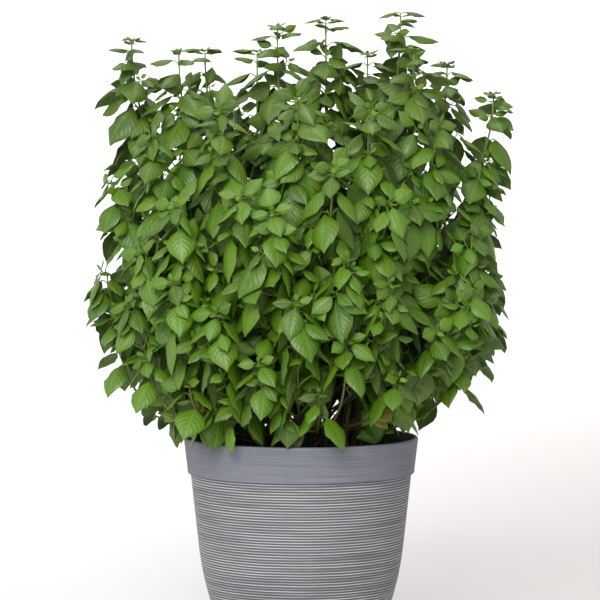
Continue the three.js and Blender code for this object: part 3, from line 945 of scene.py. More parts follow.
@dataclass
class Soil:
    """The bed that fills the pot, in millimetres, with loose crumbs and bark on its top."""

    planter: Planter
    top: float = 250
    gap: float = 0.4
    lump: float = 2.4
    waves: Triple = (17, 21, 9)
    roughness: float = 3.2
    coarse_length: float = 11
    fine_length: float = 3.4
    fine_share: float = 0.4
    rings: int = 44
    sides: int = 112
    crumbs: int = 900
    crumb_key: int = 900
    crumb_sizes: Couple = (0.7, 1.7)
    crumb_shape: Triple = (1.2, 1, 0.75)
    bark_shape: Triple = (2.6, 1, 0.35)
    bark_share: float = 0.14
    bark_tone: float = 0.8
    crumb_margin: float = 5
    lumpiness: float = 0.25

    def height_at(self, x: float, y: float) -> float:
        """The height of the bed's gentle waves."""
        along, across, slanting = self.waves
        wave = sin(x / along) * cos(y / across) + 0.5 * sin((x - y) / slanting)
        return self.top + self.lump * wave

    def ground(self, x: float, y: float) -> float:
        """The bed's height with its own lumps and pits."""
        coarse = noise.noise(Vector((x / self.coarse_length, y / self.coarse_length, 3)))
        fine = noise.noise(Vector((x / self.fine_length, y / self.fine_length, 7)))
        lumps = (1 - self.fine_share) * coarse + self.fine_share * fine
        return self.height_at(x, y) + self.roughness * lumps

    def bed(self) -> Pattern:
        """Turns the bed's section and roughens its top.

        Returns:
            The bed as a pattern that is already in place.
        """
        edge = self.planter.inner_radius(self.top) - self.gap
        walls = [(r - self.gap, z) for r, z in self.planter.inner_wall()][::-1]
        floor = self.planter.floor + self.gap
        level = [(edge * (1 - i / self.rings), self.top) for i in range(self.rings + 1)]
        profile = [(0, floor), (walls[0][0], floor), *walls[1:], *level]
        bm = bmesh.new()
        bm.loops.layers.uv.new("blade")
        turned(bm, profile, self.sides)
        bmesh.ops.remove_doubles(bm, verts=bm.verts[:], dist=0.01)
        for vert in bm.verts:
            if vert.co.z > self.top - 0.01:
                vert.co.z = self.ground(vert.co.x, vert.co.y)
        bmesh.ops.recalc_face_normals(bm, faces=bm.faces[:])
        return Pattern(bm, "bed")

    def crumb(self, index: int, pattern: Pattern) -> tuple[Array, Triple]:
        """One loose crumb, or a chip of bark.

        Args:
            index: The crumb's number.
            pattern: The ball that it is shaped from.

        Returns:
            Its corners and its habits.
        """
        out, way, kind, bulk, heading, _, phase, tone = (chance(self.crumb_key, index, k) for k in range(8))
        reach = (self.planter.inner_radius(self.top) - self.crumb_margin) * sqrt(out)
        x, y = reach * cos(FULL_TURN * way), reach * sin(FULL_TURN * way)
        bark = kind < self.bark_share
        least, growth = self.crumb_sizes
        size = least + growth * bulk**2
        tilt = Matrix.Rotation(spread(0.5, index, 5), 3, "Y")
        turn = Matrix.Rotation(FULL_TURN * heading, 3, "Z") @ tilt
        shape = [size * share for share in (self.bark_shape if bark else self.crumb_shape)]
        scaled = np.array(turn @ Matrix.Diagonal(shape))
        waves = np.sin(7 * pattern.shares[:, :1] + 6 * phase + 5 * pattern.shares[:, 1:2])
        lumpy = pattern.shares * (1 + self.lumpiness * waves)
        corners = lumpy @ scaled.T + np.array([x, y, self.ground(x, y) + 0.3 * size])
        return corners, (tone, self.bark_tone if bark else 0.0, 0.0)

    def build(self) -> Piece:
        """Makes the bed with its crumbs.

        Returns:
            The finished piece.
        """
        gathering = Gathering()
        bed = self.bed()
        gathering.add(bed, bed.shares[None], np.zeros((1, 1, 3)))
        bm = bmesh.new()
        bm.loops.layers.uv.new("blade")
        bmesh.ops.create_icosphere(bm, subdivisions=1, radius=1)
        ball = Pattern(bm, "crumb")
        corners, habits = zip(*(self.crumb(index, ball) for index in range(self.crumbs)))
        gathering.add(ball, np.array(corners), np.array(habits)[:, None])
        piece = gathering.piece("soil_bed", [POTTING_SOIL.build()])
        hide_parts("soil")
        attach(piece, BODY)
        return piece


# Growth rule


@dataclass(frozen=True)
class LeafRule:
    """How the plain blades grow, in millimetres and degrees.

    A pair's place is its distance below the tip.
    """

    places: tuple[float, ...] = (12, 31, 58, 87, 117)
    lengths: tuple[float, ...] = (34, 45, 53, 55, 56)
    base_pitches: tuple[float, ...] = (18, 10, 2, -8, -14)
    tip_pitches: tuple[float, ...] = (-26, -38, -48, -56, -60)
    width_share: float = 0.75
    hang_pitch: float = 44
    hang_from: float = 780
    hang_full: float = 560
    fold: float = 20
    petiole_share: float = 0.26
    petiole_pitch: float = 38
    most_rise: float = 65
    steer: float = 0.4
    most_turn: float = 50
    yaw_spread: float = 12
    roll_spread: float = 20
    hang_spread: float = 9
    size_spread: float = 0.13
    breadth_spread: float = 0.1
    tries: int = 9
    swing: float = 13
    dip: float = 22
    shrink: float = 0.035
    tip_length: float = 17
    tip_share: float = 0.7
    tip_base: float = 30
    tip_end: float = -2
    tip_pair: int = 9
    first_share: float = 0.12
    youngest: float = 10
    youth_range: float = 22
    small_from: float = 11
    broad_from: float = 24


@dataclass(frozen=True)
class StemRule:
    """How the plain stems and side shoots grow, in millimetres and degrees."""

    soil_top: float = 250
    root_depth: float = 30
    root_share: float = 0.36
    root_reach: float = 104
    root_spread: float = 9
    root_spread_step: float = 3
    root_tries: int = 12
    stem_half_width: float = 3.1
    shoot_half_width: float = 1.7
    tip_half_width: float = 0.9
    turn: float = 45
    turn_spread: float = 14
    wobble: float = 9
    crown_pairs: int = 4
    side_pairs: int = 3
    shoot_pairs: int = 2
    shoot_tries: int = 6
    shoot_start: float = 0.07
    beside: float = 60
    drop: float = 22
    slope: float = 1.05
    slope_step: float = 0.16
    lowest: float = 0.035
    apart: float = 0.02
    first_climb: float = 0.6
    shoot_wobble: float = 7
    shoot_spacing: float = 0.95
    shoot_vigour: float = 1.04
    back_scale: Couple = (-0.97, -0.96)
    back_lift: float = 8
    back_shoots: int = 2


LEAF = LeafRule()
STEM = StemRule()

CROWN_TIPS: tuple[Triple, ...] = (
    (-213, -20, 767),
    (-123, 40, 757),
    (-152, -62, 752),
    (-57, 90, 758),
    (-30, -12, 785),
    (31, -42, 792),
    (86, 70, 754),
    (125, -30, 801),
    (139, -92, 752),
    (186, 22, 739),
    (243, -10, 699),
)
SIDE_TIPS: tuple[tuple[Triple, tuple[Triple, ...]], ...] = (
    ((-179, -110, 647), ((-190, -128, 506), (-206, -98, 440))),
    ((-96, -150, 676), ((-70, -192, 573), (-100, -192, 432))),
    ((-4, -160, 690), ((-34, -224, 554), (-6, -220, 446), (-50, -192, 372))),
    ((82, -150, 676), ((104, -186, 565), (104, -204, 468), (115, -166, 352))),
    ((165, -110, 660), ((212, -88, 531), (206, -118, 458), (160, -150, 408))),
    ((225, -40, 619), ((228, -52, 440), (196, -82, 366))),
    ((-236, -20, 590), ((-243, -44, 476), (-226, -30, 384))),
    ((38, -212, 607), ((51, -222, 500), (54, -208, 400), (22, -176, 334))),
    ((-150, -160, 562), ((-152, -180, 470), (-186, -116, 372), (-136, -148, 344))),
)


class Section(NamedTuple):
    """A cut across a stem."""

    centre: Vector
    tangent: Vector
    first: Vector
    second: Vector


@dataclass(eq=False)
class Leaf:
    """A blade on its petiole: the midrib is one arc that nods from its base pitch to its tip pitch.

    Lengths are in millimetres, angles in radians. The petiole leaves the stem at root and climbs by rise.
    Along is the way that the leaf points, and up is the way that its upper side faces before its roll.
    Youth goes from 0 for a grown leaf to 1 for the youngest.
    """

    keys: Keys
    root: Vector
    along: Vector
    up: Vector
    rise: float
    roll: float
    length: float
    width: float
    petiole: float
    base: float
    tip: float
    youth: float

    def __post_init__(self) -> None:
        """Works out where the blade starts, and rolls it."""
        up, side = self.up, self.up.cross(self.along)
        forth, climb = self.petiole * cos(self.rise), self.petiole * sin(self.rise)
        self.start = self.root + self.along * forth + up * climb
        self.up = up * cos(self.roll) + side * sin(self.roll)
        self.side = side * cos(self.roll) - up * sin(self.roll)
        self.bend = self.tip - self.base

    def midrib(self, share: float) -> Vector:
        """The midrib's point at a share of the blade's length."""
        pitch = self.base + self.bend * share
        run = (sin(pitch) - sin(self.base)) / self.bend
        rise = (cos(self.base) - cos(pitch)) / self.bend
        return self.start + self.along * (self.length * run) + self.up * (self.length * rise)

    def outline(self) -> list[Vector]:
        """Twelve corners that stand for the blade where leaves are kept apart.

        Returns:
            Three corners for each of four places along the blade.
        """
        drop = sin(radians(LEAF.fold))
        reach = cos(radians(LEAF.fold))
        breadths = ((0.05, 0.3), (0.34, 1.0), (0.66, 0.72), (0.97, 0.12))
        corners = []
        for share, part in breadths:
            middle = self.midrib(share)
            pitch = self.base + self.bend * share
            normal = self.up * cos(pitch) - self.along * sin(pitch)
            half = self.width * part / 2
            sunk = middle - normal * (half * drop)
            corners += [sunk - self.side * (half * reach), middle, sunk + self.side * (half * reach)]
        return corners


class Shoot:
    """Anything that leaves grow on. Its share runs from 0 at its foot to 1 at its tip."""

    keys: Keys
    phase: float
    half_width: float
    tip_speed: float
    leaves: list[Leaf]
    vigour: float = 1.0
    tip_half_width: float = STEM.tip_half_width

    def centre(self, share: float) -> Vector:
        """The shoot's middle at a share of its length."""
        raise NotImplementedError

    def section(self, share: float) -> Section:
        """The cut across the shoot at a share of its length."""
        raise NotImplementedError

    def half_width_at(self, share: float) -> float:
        """Half the distance between two opposite walls."""
        return self.half_width + (self.tip_half_width - self.half_width) * share

    def face_normal(self, share: float, face: int) -> Vector:
        """The way that one of the four walls faces."""
        cut = self.section(share)
        angle = self.phase + QUARTER * (face + 1)
        return cut.first * cos(angle) + cut.second * sin(angle)


class Stem(Shoot):
    """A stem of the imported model, square in section, along a curve."""

    spacing: float
    wobble: float
    pairs: int

    def __init__(self, keys: Keys, foot: Vector, tip: Vector, half_width: float, outward: Vector) -> None:
        """Places the stem.

        Args:
            keys: The stem's own keys for chance.
            foot: Where it starts.
            tip: Where it ends.
            half_width: Half its width at its foot.
            outward: The level way from its foot to its tip.
        """
        self.keys, self.outward = keys, outward
        self.foot, self.tip = foot, tip
        self.half_width = half_width
        self.phase = radians(STEM.turn) + spread(radians(STEM.turn_spread), *keys, Draw.TURN)
        self.height = tip.z - foot.z
        sway = FULL_TURN * chance(*keys, Draw.SWAY)
        self.sway = Vector((cos(sway), sin(sway), 0))
        self.leaves = []
        self.taken: set[tuple[int, int]] = set()

    def course(self, share: float) -> Couple:
        """How far the stem has gone across and up at a share."""
        raise NotImplementedError

    def centre(self, share: float) -> Vector:
        """The stem's middle at a share."""
        across, climb = self.course(share)
        swing = self.wobble * sin(pi * share) ** 2
        foot, tip, sway = self.foot, self.tip, self.sway
        x = foot.x + (tip.x - foot.x) * across + sway.x * swing
        y = foot.y + (tip.y - foot.y) * across + sway.y * swing
        return Vector((x, y, foot.z + self.height * climb))

    def section(self, share: float) -> Section:
        """The cut across the stem at a share."""
        step = 1e-3
        tangent = (self.centre(share + step) - self.centre(share - step)).normalized()
        first = (self.outward - tangent * tangent.dot(self.outward)).normalized()
        return Section(self.centre(share), tangent, first, tangent.cross(first))

    def ring(self, share: float) -> list[Vector]:
        """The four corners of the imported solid's ring at a share."""
        cut = self.section(share)
        reach = self.half_width_at(share) * sqrt(2)
        corners = []
        for angle in (self.phase + QUARTER / 2 + QUARTER * i for i in range(4)):
            out = cut.first * (reach * cos(angle))
            corners.append(cut.centre + out + cut.second * (reach * sin(angle)))
        return corners

    def below_tip(self, distance: float) -> float:
        """The share at a distance below the tip."""
        return 1 - distance / self.tip_speed

    def packed_pairs(self) -> list[tuple[int, float]]:
        """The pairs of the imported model: each one's number and share."""
        return [(pair, self.below_tip(LEAF.places[pair] * self.spacing)) for pair in range(self.pairs)]

    def grown_leaf(
        self, pair: int, face: int, attempt: int, share: float, length: float, base: float, tip: float
    ) -> Leaf:
        """A leaf that turns towards the open. Later attempts swing it aside.

        Args:
            pair: The pair's number, for chance.
            face: The wall that it grows on.
            attempt: Which try this is.
            share: Where it grows.
            length: Its length before chance.
            base: Its base pitch before it hangs, in degrees.
            tip: Its tip pitch before it hangs.

        Returns:
            The leaf.
        """
        keys = (*self.keys, Draw.PAIR + pair, face)
        normal = self.face_normal(share, face)
        middle = self.centre(share)
        outward = atan2(middle.y, middle.x)
        plain = atan2(normal.y, normal.x)
        turn = wrapped(plain - outward)
        swing = swung(attempt) * radians(LEAF.swing)
        steered = outward + turn * (1 - LEAF.steer * abs(turn) / pi)
        wanted = steered + swing + spread(radians(LEAF.yaw_spread), *keys, Draw.YAW)
        limit = radians(LEAF.most_turn)
        heading = plain + clamp(wrapped(wanted - plain), -limit, limit)
        low = clamp((LEAF.hang_from - middle.z) / (LEAF.hang_from - LEAF.hang_full), 0, 1)
        dip = spread(radians(LEAF.dip), *keys, Draw.DIP + attempt) if attempt else 0
        sag = spread(radians(LEAF.hang_spread), *keys, Draw.HANG)
        hang = -radians(LEAF.hang_pitch) * low + sag + dip
        size = (1 + spread(LEAF.size_spread, *keys, Draw.SIZE)) * (1 - LEAF.shrink * attempt)
        young = pair == LEAF.tip_pair
        length *= size * (1 if young else self.vigour)
        broad = 1 if young else 1 + spread(LEAF.breadth_spread, *keys, Draw.BREADTH)
        hang = 0 if young else hang
        rise = radians(LEAF.petiole_pitch) + asin(clamp(normal.z, -1, 1))
        return Leaf(
            keys=keys,
            root=middle + normal * self.half_width_at(share),
            along=Vector((cos(heading), sin(heading), 0)),
            up=UP.copy(),
            rise=min(rise, radians(LEAF.most_rise)),
            roll=0 if young else spread(radians(LEAF.roll_spread), *keys, Draw.ROLL),
            length=length,
            width=length * (LEAF.tip_share if young else LEAF.width_share) * broad,
            petiole=0 if young else length * LEAF.petiole_share,
            base=radians(base) + hang,
            tip=radians(tip) + hang,
            youth=clamp(1 - (length - LEAF.youngest) / LEAF.youth_range, 0, 1),
        )

    def packed_leaf(self, pair: int, face: int, attempt: int) -> Leaf | None:
        """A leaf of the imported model, or nothing where its pair would be too low on the stem."""
        share = self.below_tip(LEAF.places[pair] * self.spacing)
        if share < LEAF.first_share:
            return None
        pitches = LEAF.base_pitches[pair], LEAF.tip_pitches[pair]
        return self.grown_leaf(pair, face, attempt, share, LEAF.lengths[pair], *pitches)

    def tip_leaf(self, face: int) -> Leaf:
        """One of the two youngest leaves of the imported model."""
        return self.grown_leaf(LEAF.tip_pair, face, 0, 1, LEAF.tip_length, LEAF.tip_base, LEAF.tip_end)


class MainStem(Stem):
    """A stem with its own root, which leaves the soil upright and ends upright."""

    spacing = 1.0

    def __init__(self, index: int, tip: Triple, pairs: int, attempt: int) -> None:
        """Places the stem.

        Args:
            index: The stem's number.
            tip: Where it ends.
            pairs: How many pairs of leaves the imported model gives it.
            attempt: Which try at a clear foot this is.
        """
        place = Vector(tip)
        reach = hypot(place.x, place.y)
        share = min(STEM.root_share, STEM.root_reach / reach)
        room = STEM.root_spread + STEM.root_spread_step * attempt
        shift = [spread(room, index, Draw.ROOT + 2 * attempt + axis) for axis in (0, 1)]
        foot = Vector((place.x * share + shift[0], place.y * share + shift[1], STEM.soil_top))
        outward = Vector((place.x / reach, place.y / reach, 0))
        super().__init__((index, 0), foot, place, STEM.stem_half_width, outward)
        self.wobble = STEM.wobble
        self.tip_speed = self.height
        self.pairs = pairs
        self.shoots: list[SideShoot] = []

    def course(self, share: float) -> Couple:
        """Across slowly at both ends, and up at one speed."""
        return share * share * (3 - 2 * share), share


class SideShoot(Stem):
    """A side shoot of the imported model, which leaves its stem outwards and turns upright."""

    spacing = STEM.shoot_spacing
    vigour = STEM.shoot_vigour

    def __init__(self, parent: MainStem, order: int, tip: Triple, attempt: int) -> None:
        """Places the shoot.

        Args:
            parent: The stem that it grows on.
            order: Its number on that stem.
            tip: Where it ends.
            attempt: Which try at a clear way this is.
        """
        place = Vector(tip)
        beside = parent.centre(max(0, (place.z - STEM.beside - STEM.soil_top) / parent.height))
        away = hypot(place.x - beside.x, place.y - beside.y)
        drop = (STEM.slope + STEM.slope_step * attempt) * away + STEM.drop
        lowest = STEM.lowest + STEM.apart * order
        share = max(lowest, (place.z - drop - STEM.soil_top) / parent.height)
        foot = parent.centre(share)
        outward = Vector((place.x - foot.x, place.y - foot.y, 0)).normalized()
        super().__init__((parent.keys[0], order + 1), foot, place, STEM.shoot_half_width, outward)
        self.wobble = spread(STEM.shoot_wobble, *self.keys, Draw.WOBBLE + attempt)
        self.tip_speed = self.height * (2 - STEM.first_climb)
        self.pairs = STEM.shoot_pairs

    def course(self, share: float) -> Couple:
        """Across quickly and up slowly at first."""
        return share * (2 - share), share * (STEM.first_climb + (1 - STEM.first_climb) * share)


class Footprints:
    """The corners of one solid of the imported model, which show where its rule ended up."""

    nearest = 0.06

    def __init__(self, node: str) -> None:
        """Reads the solid's corners.

        Args:
            node: The solid's name.
        """
        places = coordinates(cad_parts[node].data) / MM
        self.tree = kdtree.KDTree(len(places))
        for index, place in enumerate(places):
            self.tree.insert(place, index)
        self.tree.balance()

    def has(self, place: Vector) -> bool:
        """Whether the solid has a corner at a place."""
        return self.tree.find(place)[2] < self.nearest


def stem_plans() -> Iterator[tuple[Triple, tuple[Triple, ...], int]]:
    """Every stem's tip, its shoots' tips and its pairs of leaves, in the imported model's order.

    Yields:
        One plan for each stem.
    """
    for tip in CROWN_TIPS:
        yield tip, (), STEM.crown_pairs
    for tip, shoots in SIDE_TIPS:
        yield tip, shoots, STEM.side_pairs
    across, away = STEM.back_scale
    for tip, shoots in SIDE_TIPS:
        tip, *shoots = ((x * across, y * away, z + STEM.back_lift) for x, y, z in (tip, *shoots))
        yield tip, tuple(shoots[: STEM.back_shoots]), STEM.side_pairs


def faces_of(pair: int) -> tuple[int, int]:
    """The two walls that a pair grows on, a quarter round from the next pair's."""
    return (1, 3) if pair % 2 else (0, 2)


def node_name(index: int) -> str:
    """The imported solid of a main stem."""
    return f"leafy_stem_{index + 1:02d}"


def planted(index: int, tip: Triple, shoots: tuple[Triple, ...], pairs: int) -> MainStem:
    """Finds a packed stem again, with its shoots and leaves.

    Args:
        index: The stem's number.
        tip: Its tip.
        shoots: Its shoots' tips.
        pairs: Its pairs of leaves.

    Returns:
        The stem.
    """
    marks = Footprints(node_name(index))
    buried = STEM.soil_top - STEM.root_depth
    tries = (MainStem(index, tip, pairs, attempt) for attempt in range(STEM.root_tries))
    stem = next(one for one in tries if marks.has(Vector((*one.ring(0)[0].xy, buried))))
    for order, place in enumerate(shoots):
        for attempt in range(STEM.shoot_tries):
            shoot = SideShoot(stem, order, place, attempt)
            if marks.has(shoot.ring(STEM.shoot_start)[0]):
                stem.shoots.append(shoot)
                break
    for grower in (stem, *stem.shoots):
        for pair in range(grower.pairs):
            for face in faces_of(pair):
                for attempt in range(LEAF.tries):
                    leaf = grower.packed_leaf(pair, face, attempt)
                    if leaf and marks.has(leaf.midrib(1)):
                        grower.leaves.append(leaf)
                        grower.taken.add((pair, face))
                        break
        grower.leaves += [grower.tip_leaf(face) for face in faces_of(1)]
    return stem


# Filling out


@dataclass(frozen=True)
class Parting:
    """A dark gap in the front of the bush: an upright ellipse, in millimetres."""

    x: float
    z: float
    half_width: float
    half_height: float
    front: float = -45

    def holds(self, place: Vector) -> bool:
        """Whether a place lies in the gap."""
        apart = hypot((place.x - self.x) / self.half_width, (place.z - self.z) / self.half_height)
        return place.y < self.front and apart < 1


@dataclass(frozen=True)
class Bush:
    """The room that the whole plant fills, in millimetres."""

    half_width: float = 266
    depth_share: float = 0.92
    shoulder: float = 745
    shoulder_slope: float = 1.1
    waist: float = 405
    waist_slope: float = 0.63
    tuck: float = 385
    tuck_slope: float = 0.34
    lowest: float = 262
    overhang: float = 12
    overhang_from: float = 130
    rim_gap: float = 5
    rim_radius: float = field(default_factory=lambda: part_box("pot")[1].x / MM)
    hollow: float = 0.42
    hollow_top: float = 440
    fullest: float = 1.04
    deep: float = 0.64
    crown: float = 700
    margin: float = 2.0
    airy_sides: Couple = (130, 215)
    airy_front: float = -60
    airy_foot: float = 350
    airy_top: float = 660
    airy_share: float = 0.54
    partings: tuple[Parting, ...] = (
        Parting(38, 548, 20, 46),
        Parting(52, 318, 27, 48),
        Parting(147, 384, 20, 22),
    )

    def radius(self, place: Vector) -> float:
        """The bush's reach to the left and right at a place's height. Low on the right it is tucked in."""
        low = max(0, self.waist - place.z) * self.waist_slope
        high = max(0, place.z - self.shoulder) * self.shoulder_slope
        tuck = max(0, self.tuck - place.z) * self.tuck_slope if place.x > 0 else 0
        return self.half_width - low - high - tuck

    def fill(self, place: Vector) -> float:
        """How far out a place is: 0 on the axis, 1 on the outside."""
        return hypot(place.x, place.y / self.depth_share) / self.radius(place)

    def outward(self, place: Vector) -> Vector:
        """The level way out of the bush."""
        way = Vector((place.x, place.y / self.depth_share**2, 0))
        return way.normalized() if way.length > 1 else Vector((0, -1, 0))

    def takes(self, leaf: Leaf) -> bool:
        """Whether a leaf lies inside the plant's room, yet not in its dark middle.

        Args:
            leaf: The leaf.

        Returns:
            True if it may stay.
        """
        tip, middle = leaf.midrib(1), leaf.midrib(0.5)
        low, high = (Vector(corner) / MM for corner in CAD_BOX)
        ranges = [(low[k] - self.margin, high[k] + self.margin) for k in range(3)]
        inside = all(a < part < b for corner in leaf.outline() for part, (a, b) in zip(corner, ranges))
        beside_rim = tip.xy.length > self.rim_radius + self.rim_gap and abs(tip.x) > self.overhang_from
        lowest = self.lowest - self.overhang * beside_rim
        open_air = any(parting.holds(middle) or parting.holds(tip) for parting in self.partings)
        beside = self.airy_sides[0] < abs(middle.x) < self.airy_sides[1] and middle.y > self.airy_front
        airy = beside and self.airy_foot < middle.z < self.airy_top
        missing = airy and chance(*leaf.keys, Draw.AIR) < self.airy_share
        least = self.hollow if tip.z < self.hollow_top else 0
        within = inside and tip.z > lowest and least <= self.fill(tip) < self.fullest
        return within and not (open_air or missing)


BUSH = Bush()
SHEET_FACES = [(i, i + 1, i + 4, i + 3) for row in (0, 3, 6) for i in (row, row + 1)]
Sheet = tuple[Vector, Vector, BVHTree]


class Thicket:
    """Sheets that already have their place. A new one is clear where it crosses none of them."""

    cell = 45.0

    def __init__(self) -> None:
        """Starts empty."""
        self.cells: dict[Keys, list[Sheet]] = defaultdict(list)

    def entry(self, corners: list[Vector], faces: list[Keys]) -> Sheet:
        """A sheet as the two corners of its box and its search tree."""
        low = Vector([min(c[k] for c in corners) for k in range(3)])
        high = Vector([max(c[k] for c in corners) for k in range(3)])
        return low, high, BVHTree.FromPolygons(corners, faces)

    def spots(self, low: Vector, high: Vector) -> Iterator[Keys]:
        """The cells that a box touches."""
        return product(*(range(int(low[k] // self.cell), int(high[k] // self.cell) + 1) for k in range(3)))

    def add(self, entry: Sheet) -> None:
        """Gives a sheet its place."""
        for spot in self.spots(*entry[:2]):
            self.cells[spot].append(entry)

    def clear(self, entry: Sheet) -> bool:
        """Whether a sheet crosses none of the others."""
        low, high, tree = entry
        for spot in self.spots(low, high):
            for other_low, other_high, other in self.cells.get(spot, ()):
                near = all(other_low[k] < high[k] and low[k] < other_high[k] for k in range(3))
                if near and tree.overlap(other):
                    return False
        return True

    def block(self, corners: list[Vector], faces: list[Keys]) -> None:
        """Gives a new sheet its place."""
        self.add(self.entry(corners, faces))

    def takes_leaf(self, leaf: Leaf) -> bool:
        """Gives a leaf its place if it is clear."""
        entry = self.entry(leaf.outline(), SHEET_FACES)
        if not self.clear(entry):
            return False
        self.add(entry)
        return True


class Pair(NamedTuple):
    """A pair of leaves on a twig, in millimetres and degrees."""

    distance: float
    length: float
    base: float
    tip: float


TWIG_PAIRS = (
    Pair(-1, 10, 60, 34),
    Pair(1, 26, 32, -8),
    Pair(7, 39, 20, -26),
    Pair(23, 50, 8, -42),
    Pair(46, 57, 0, -52),
    Pair(72, 60, -6, -58),
)
TIP_PAIRS = (Pair(-1, 8, 48, 16), Pair(-0.6, 14, 34, 0), Pair(0.5, 25, 20, -26))
ROSETTE_PAIRS = (Pair(-1, 10, 60, 34), Pair(0.5, 25, 30, -8), Pair(4, 37, 18, -26))
SPRIG_PAIRS = (Pair(0, 21, 38, 0), Pair(2.5, 32, 22, -22))


@dataclass(frozen=True)
class TwigRule:
    """How the further twigs and their leaves grow, in millimetres and degrees. Spreads are in radians."""

    leaving: float = 48
    leaving_spread: float = 0.2
    ending: float = 40
    ending_spread: float = 0.3
    outward: float = 0.7
    foot_share: float = 0.4
    half_widths: Couple = (0.8, 1.5)
    stoutness: float = 110
    tip_half_width: float = 0.7
    swing: float = 0.24
    yaw_spread: float = 0.22
    sag: float = 130
    size_spread: float = 0.18
    shrink: float = 0.03
    dip: float = 0.2
    roll_spread: float = 0.3
    petiole_pitch: float = 32
    petiole_shares: Couple = (0.05, 0.2)
    petiole_from: float = 15
    width_share: float = 0.7
    breadth_spread: float = 0.14
    youngest: float = 5
    youth_range: float = 18
    bare_foot: float = 7
    inward: float = -0.15
    inner_fill: float = 0.75
    inner_top: float = 620
    room: float = 12
    below_share: float = 0.42
    below_room: float = 4
    longest: float = 96
    shortest: float = 20
    crown_bare: float = 50
    crown_share: float = 0.78
    share: float = 0.9
    above_leaf: float = 2.5
    lengths: Couple = (0.72, 0.3)
    sprig_lengths: Couple = (3, 7)
    bud_lengths: Couple = (4, 9)
    bud_lean: float = 0.75
    bud_spread: float = 0.4
    shoot_fill: float = 1.02
    shoot_room: float = 8
    shoot_reach: Couple = (5, 13)
    shoot_lengths: Couple = (0.6, 0.4)
    shoot_sprig: float = 18
    shoot_above_leaf: float = 2


TWIG = TwigRule()


def swung(attempt: int) -> int:
    """How many steps a try is swung aside: none, then one and more, to either side by turns."""
    return (1 if attempt % 2 else -1) * ceil(attempt / 2)


class Twig(Shoot):
    """A short shoot from the axil of a leaf, on one bend from the way it leaves to the way it ends."""

    tip_half_width = TWIG.tip_half_width

    def __init__(self, parent: Shoot, share: float, face: int, length: float, keys: Keys) -> None:
        """Places the twig.

        Args:
            parent: The shoot that it grows on.
            share: Where it grows on it.
            face: The wall that it grows on.
            length: Its length.
            keys: Its own keys for chance.
        """
        normal = parent.face_normal(share, face)
        cut = parent.section(share)
        outward = BUSH.outward(cut.centre)
        leaving = radians(TWIG.leaving) + spread(TWIG.leaving_spread, *keys, Draw.LEAN)
        ending = radians(TWIG.ending) + spread(TWIG.ending_spread, *keys, Draw.TURN)
        level = Vector((normal.x, normal.y, 0)).normalized()
        flat = (level + outward * TWIG.outward + Vector((0, 0, 1e-4))).normalized()
        start_way = normal * cos(leaving) + cut.tangent * sin(leaving)
        end_way = flat * cos(ending) + UP * sin(ending)
        middle_way = (start_way + end_way).normalized()
        foot = cut.centre + normal * (TWIG.foot_share * parent.half_width_at(share))
        tip = foot + middle_way * length
        handle = length / 3
        self.points = (foot, foot + start_way * handle, tip - end_way * handle, tip)
        self.across = UP.cross(flat).normalized()
        self.keys = keys
        self.length = self.tip_speed = length
        self.phase = spread(pi / 4, *keys, Draw.PHASE)
        self.half_width = clamp(TWIG.half_widths[0] + length / TWIG.stoutness, *TWIG.half_widths)
        self.leaves = []

    def centre(self, share: float) -> Vector:
        """The twig's middle at a share."""
        a, b, c, d = self.points
        rest = 1 - share
        return a * rest**3 + b * (3 * rest * rest * share) + c * (3 * rest * share * share) + d * share**3

    def section(self, share: float) -> Section:
        """The cut across the twig at a share."""
        step = 1e-2
        tangent = (self.centre(share + step) - self.centre(share - step)).normalized()
        second = (self.across - tangent * tangent.dot(self.across)).normalized()
        return Section(self.centre(share), tangent, second.cross(tangent), second)

    def leaf(self, pair: Pair, order: int, face: int, attempt: int) -> Leaf:
        """A leaf of the twig, which sags a little. Later attempts swing it aside.

        Args:
            pair: Its pair.
            order: The pair's number.
            face: The wall that it grows on.
            attempt: Which try this is.

        Returns:
            The leaf.
        """
        keys = (*self.keys, Draw.PAIR + order, face)
        share = clamp(1 - pair.distance / self.length, 0.1, 1)
        cut = self.section(share)
        normal = self.face_normal(share, face)
        middle = self.centre(share) + cut.tangent * max(0, -pair.distance)
        swing = swung(attempt) * TWIG.swing + spread(TWIG.yaw_spread, *keys, Draw.YAW)
        sagging = normal - UP * (pair.length / TWIG.sag)
        along = (Matrix.Rotation(swing, 3, cut.tangent) @ sagging).normalized()
        size = (1 + spread(TWIG.size_spread, *keys, Draw.SIZE)) * (1 - TWIG.shrink * attempt)
        dip = spread(TWIG.dip, *keys, Draw.DIP + attempt)
        length = pair.length * size
        return Leaf(
            keys=keys,
            root=middle + normal * (0.8 * self.half_width_at(share)),
            along=along,
            up=(cut.tangent - along * along.dot(cut.tangent)).normalized(),
            rise=radians(TWIG.petiole_pitch),
            roll=spread(TWIG.roll_spread, *keys, Draw.ROLL),
            length=length,
            width=length * TWIG.width_share * (1 + spread(TWIG.breadth_spread, *keys, Draw.BREADTH)),
            petiole=length * TWIG.petiole_shares[pair.length > TWIG.petiole_from],
            base=radians(pair.base) + dip,
            tip=radians(pair.tip) + dip,
            youth=clamp(1 - (length - TWIG.youngest) / TWIG.youth_range, 0, 1),
        )


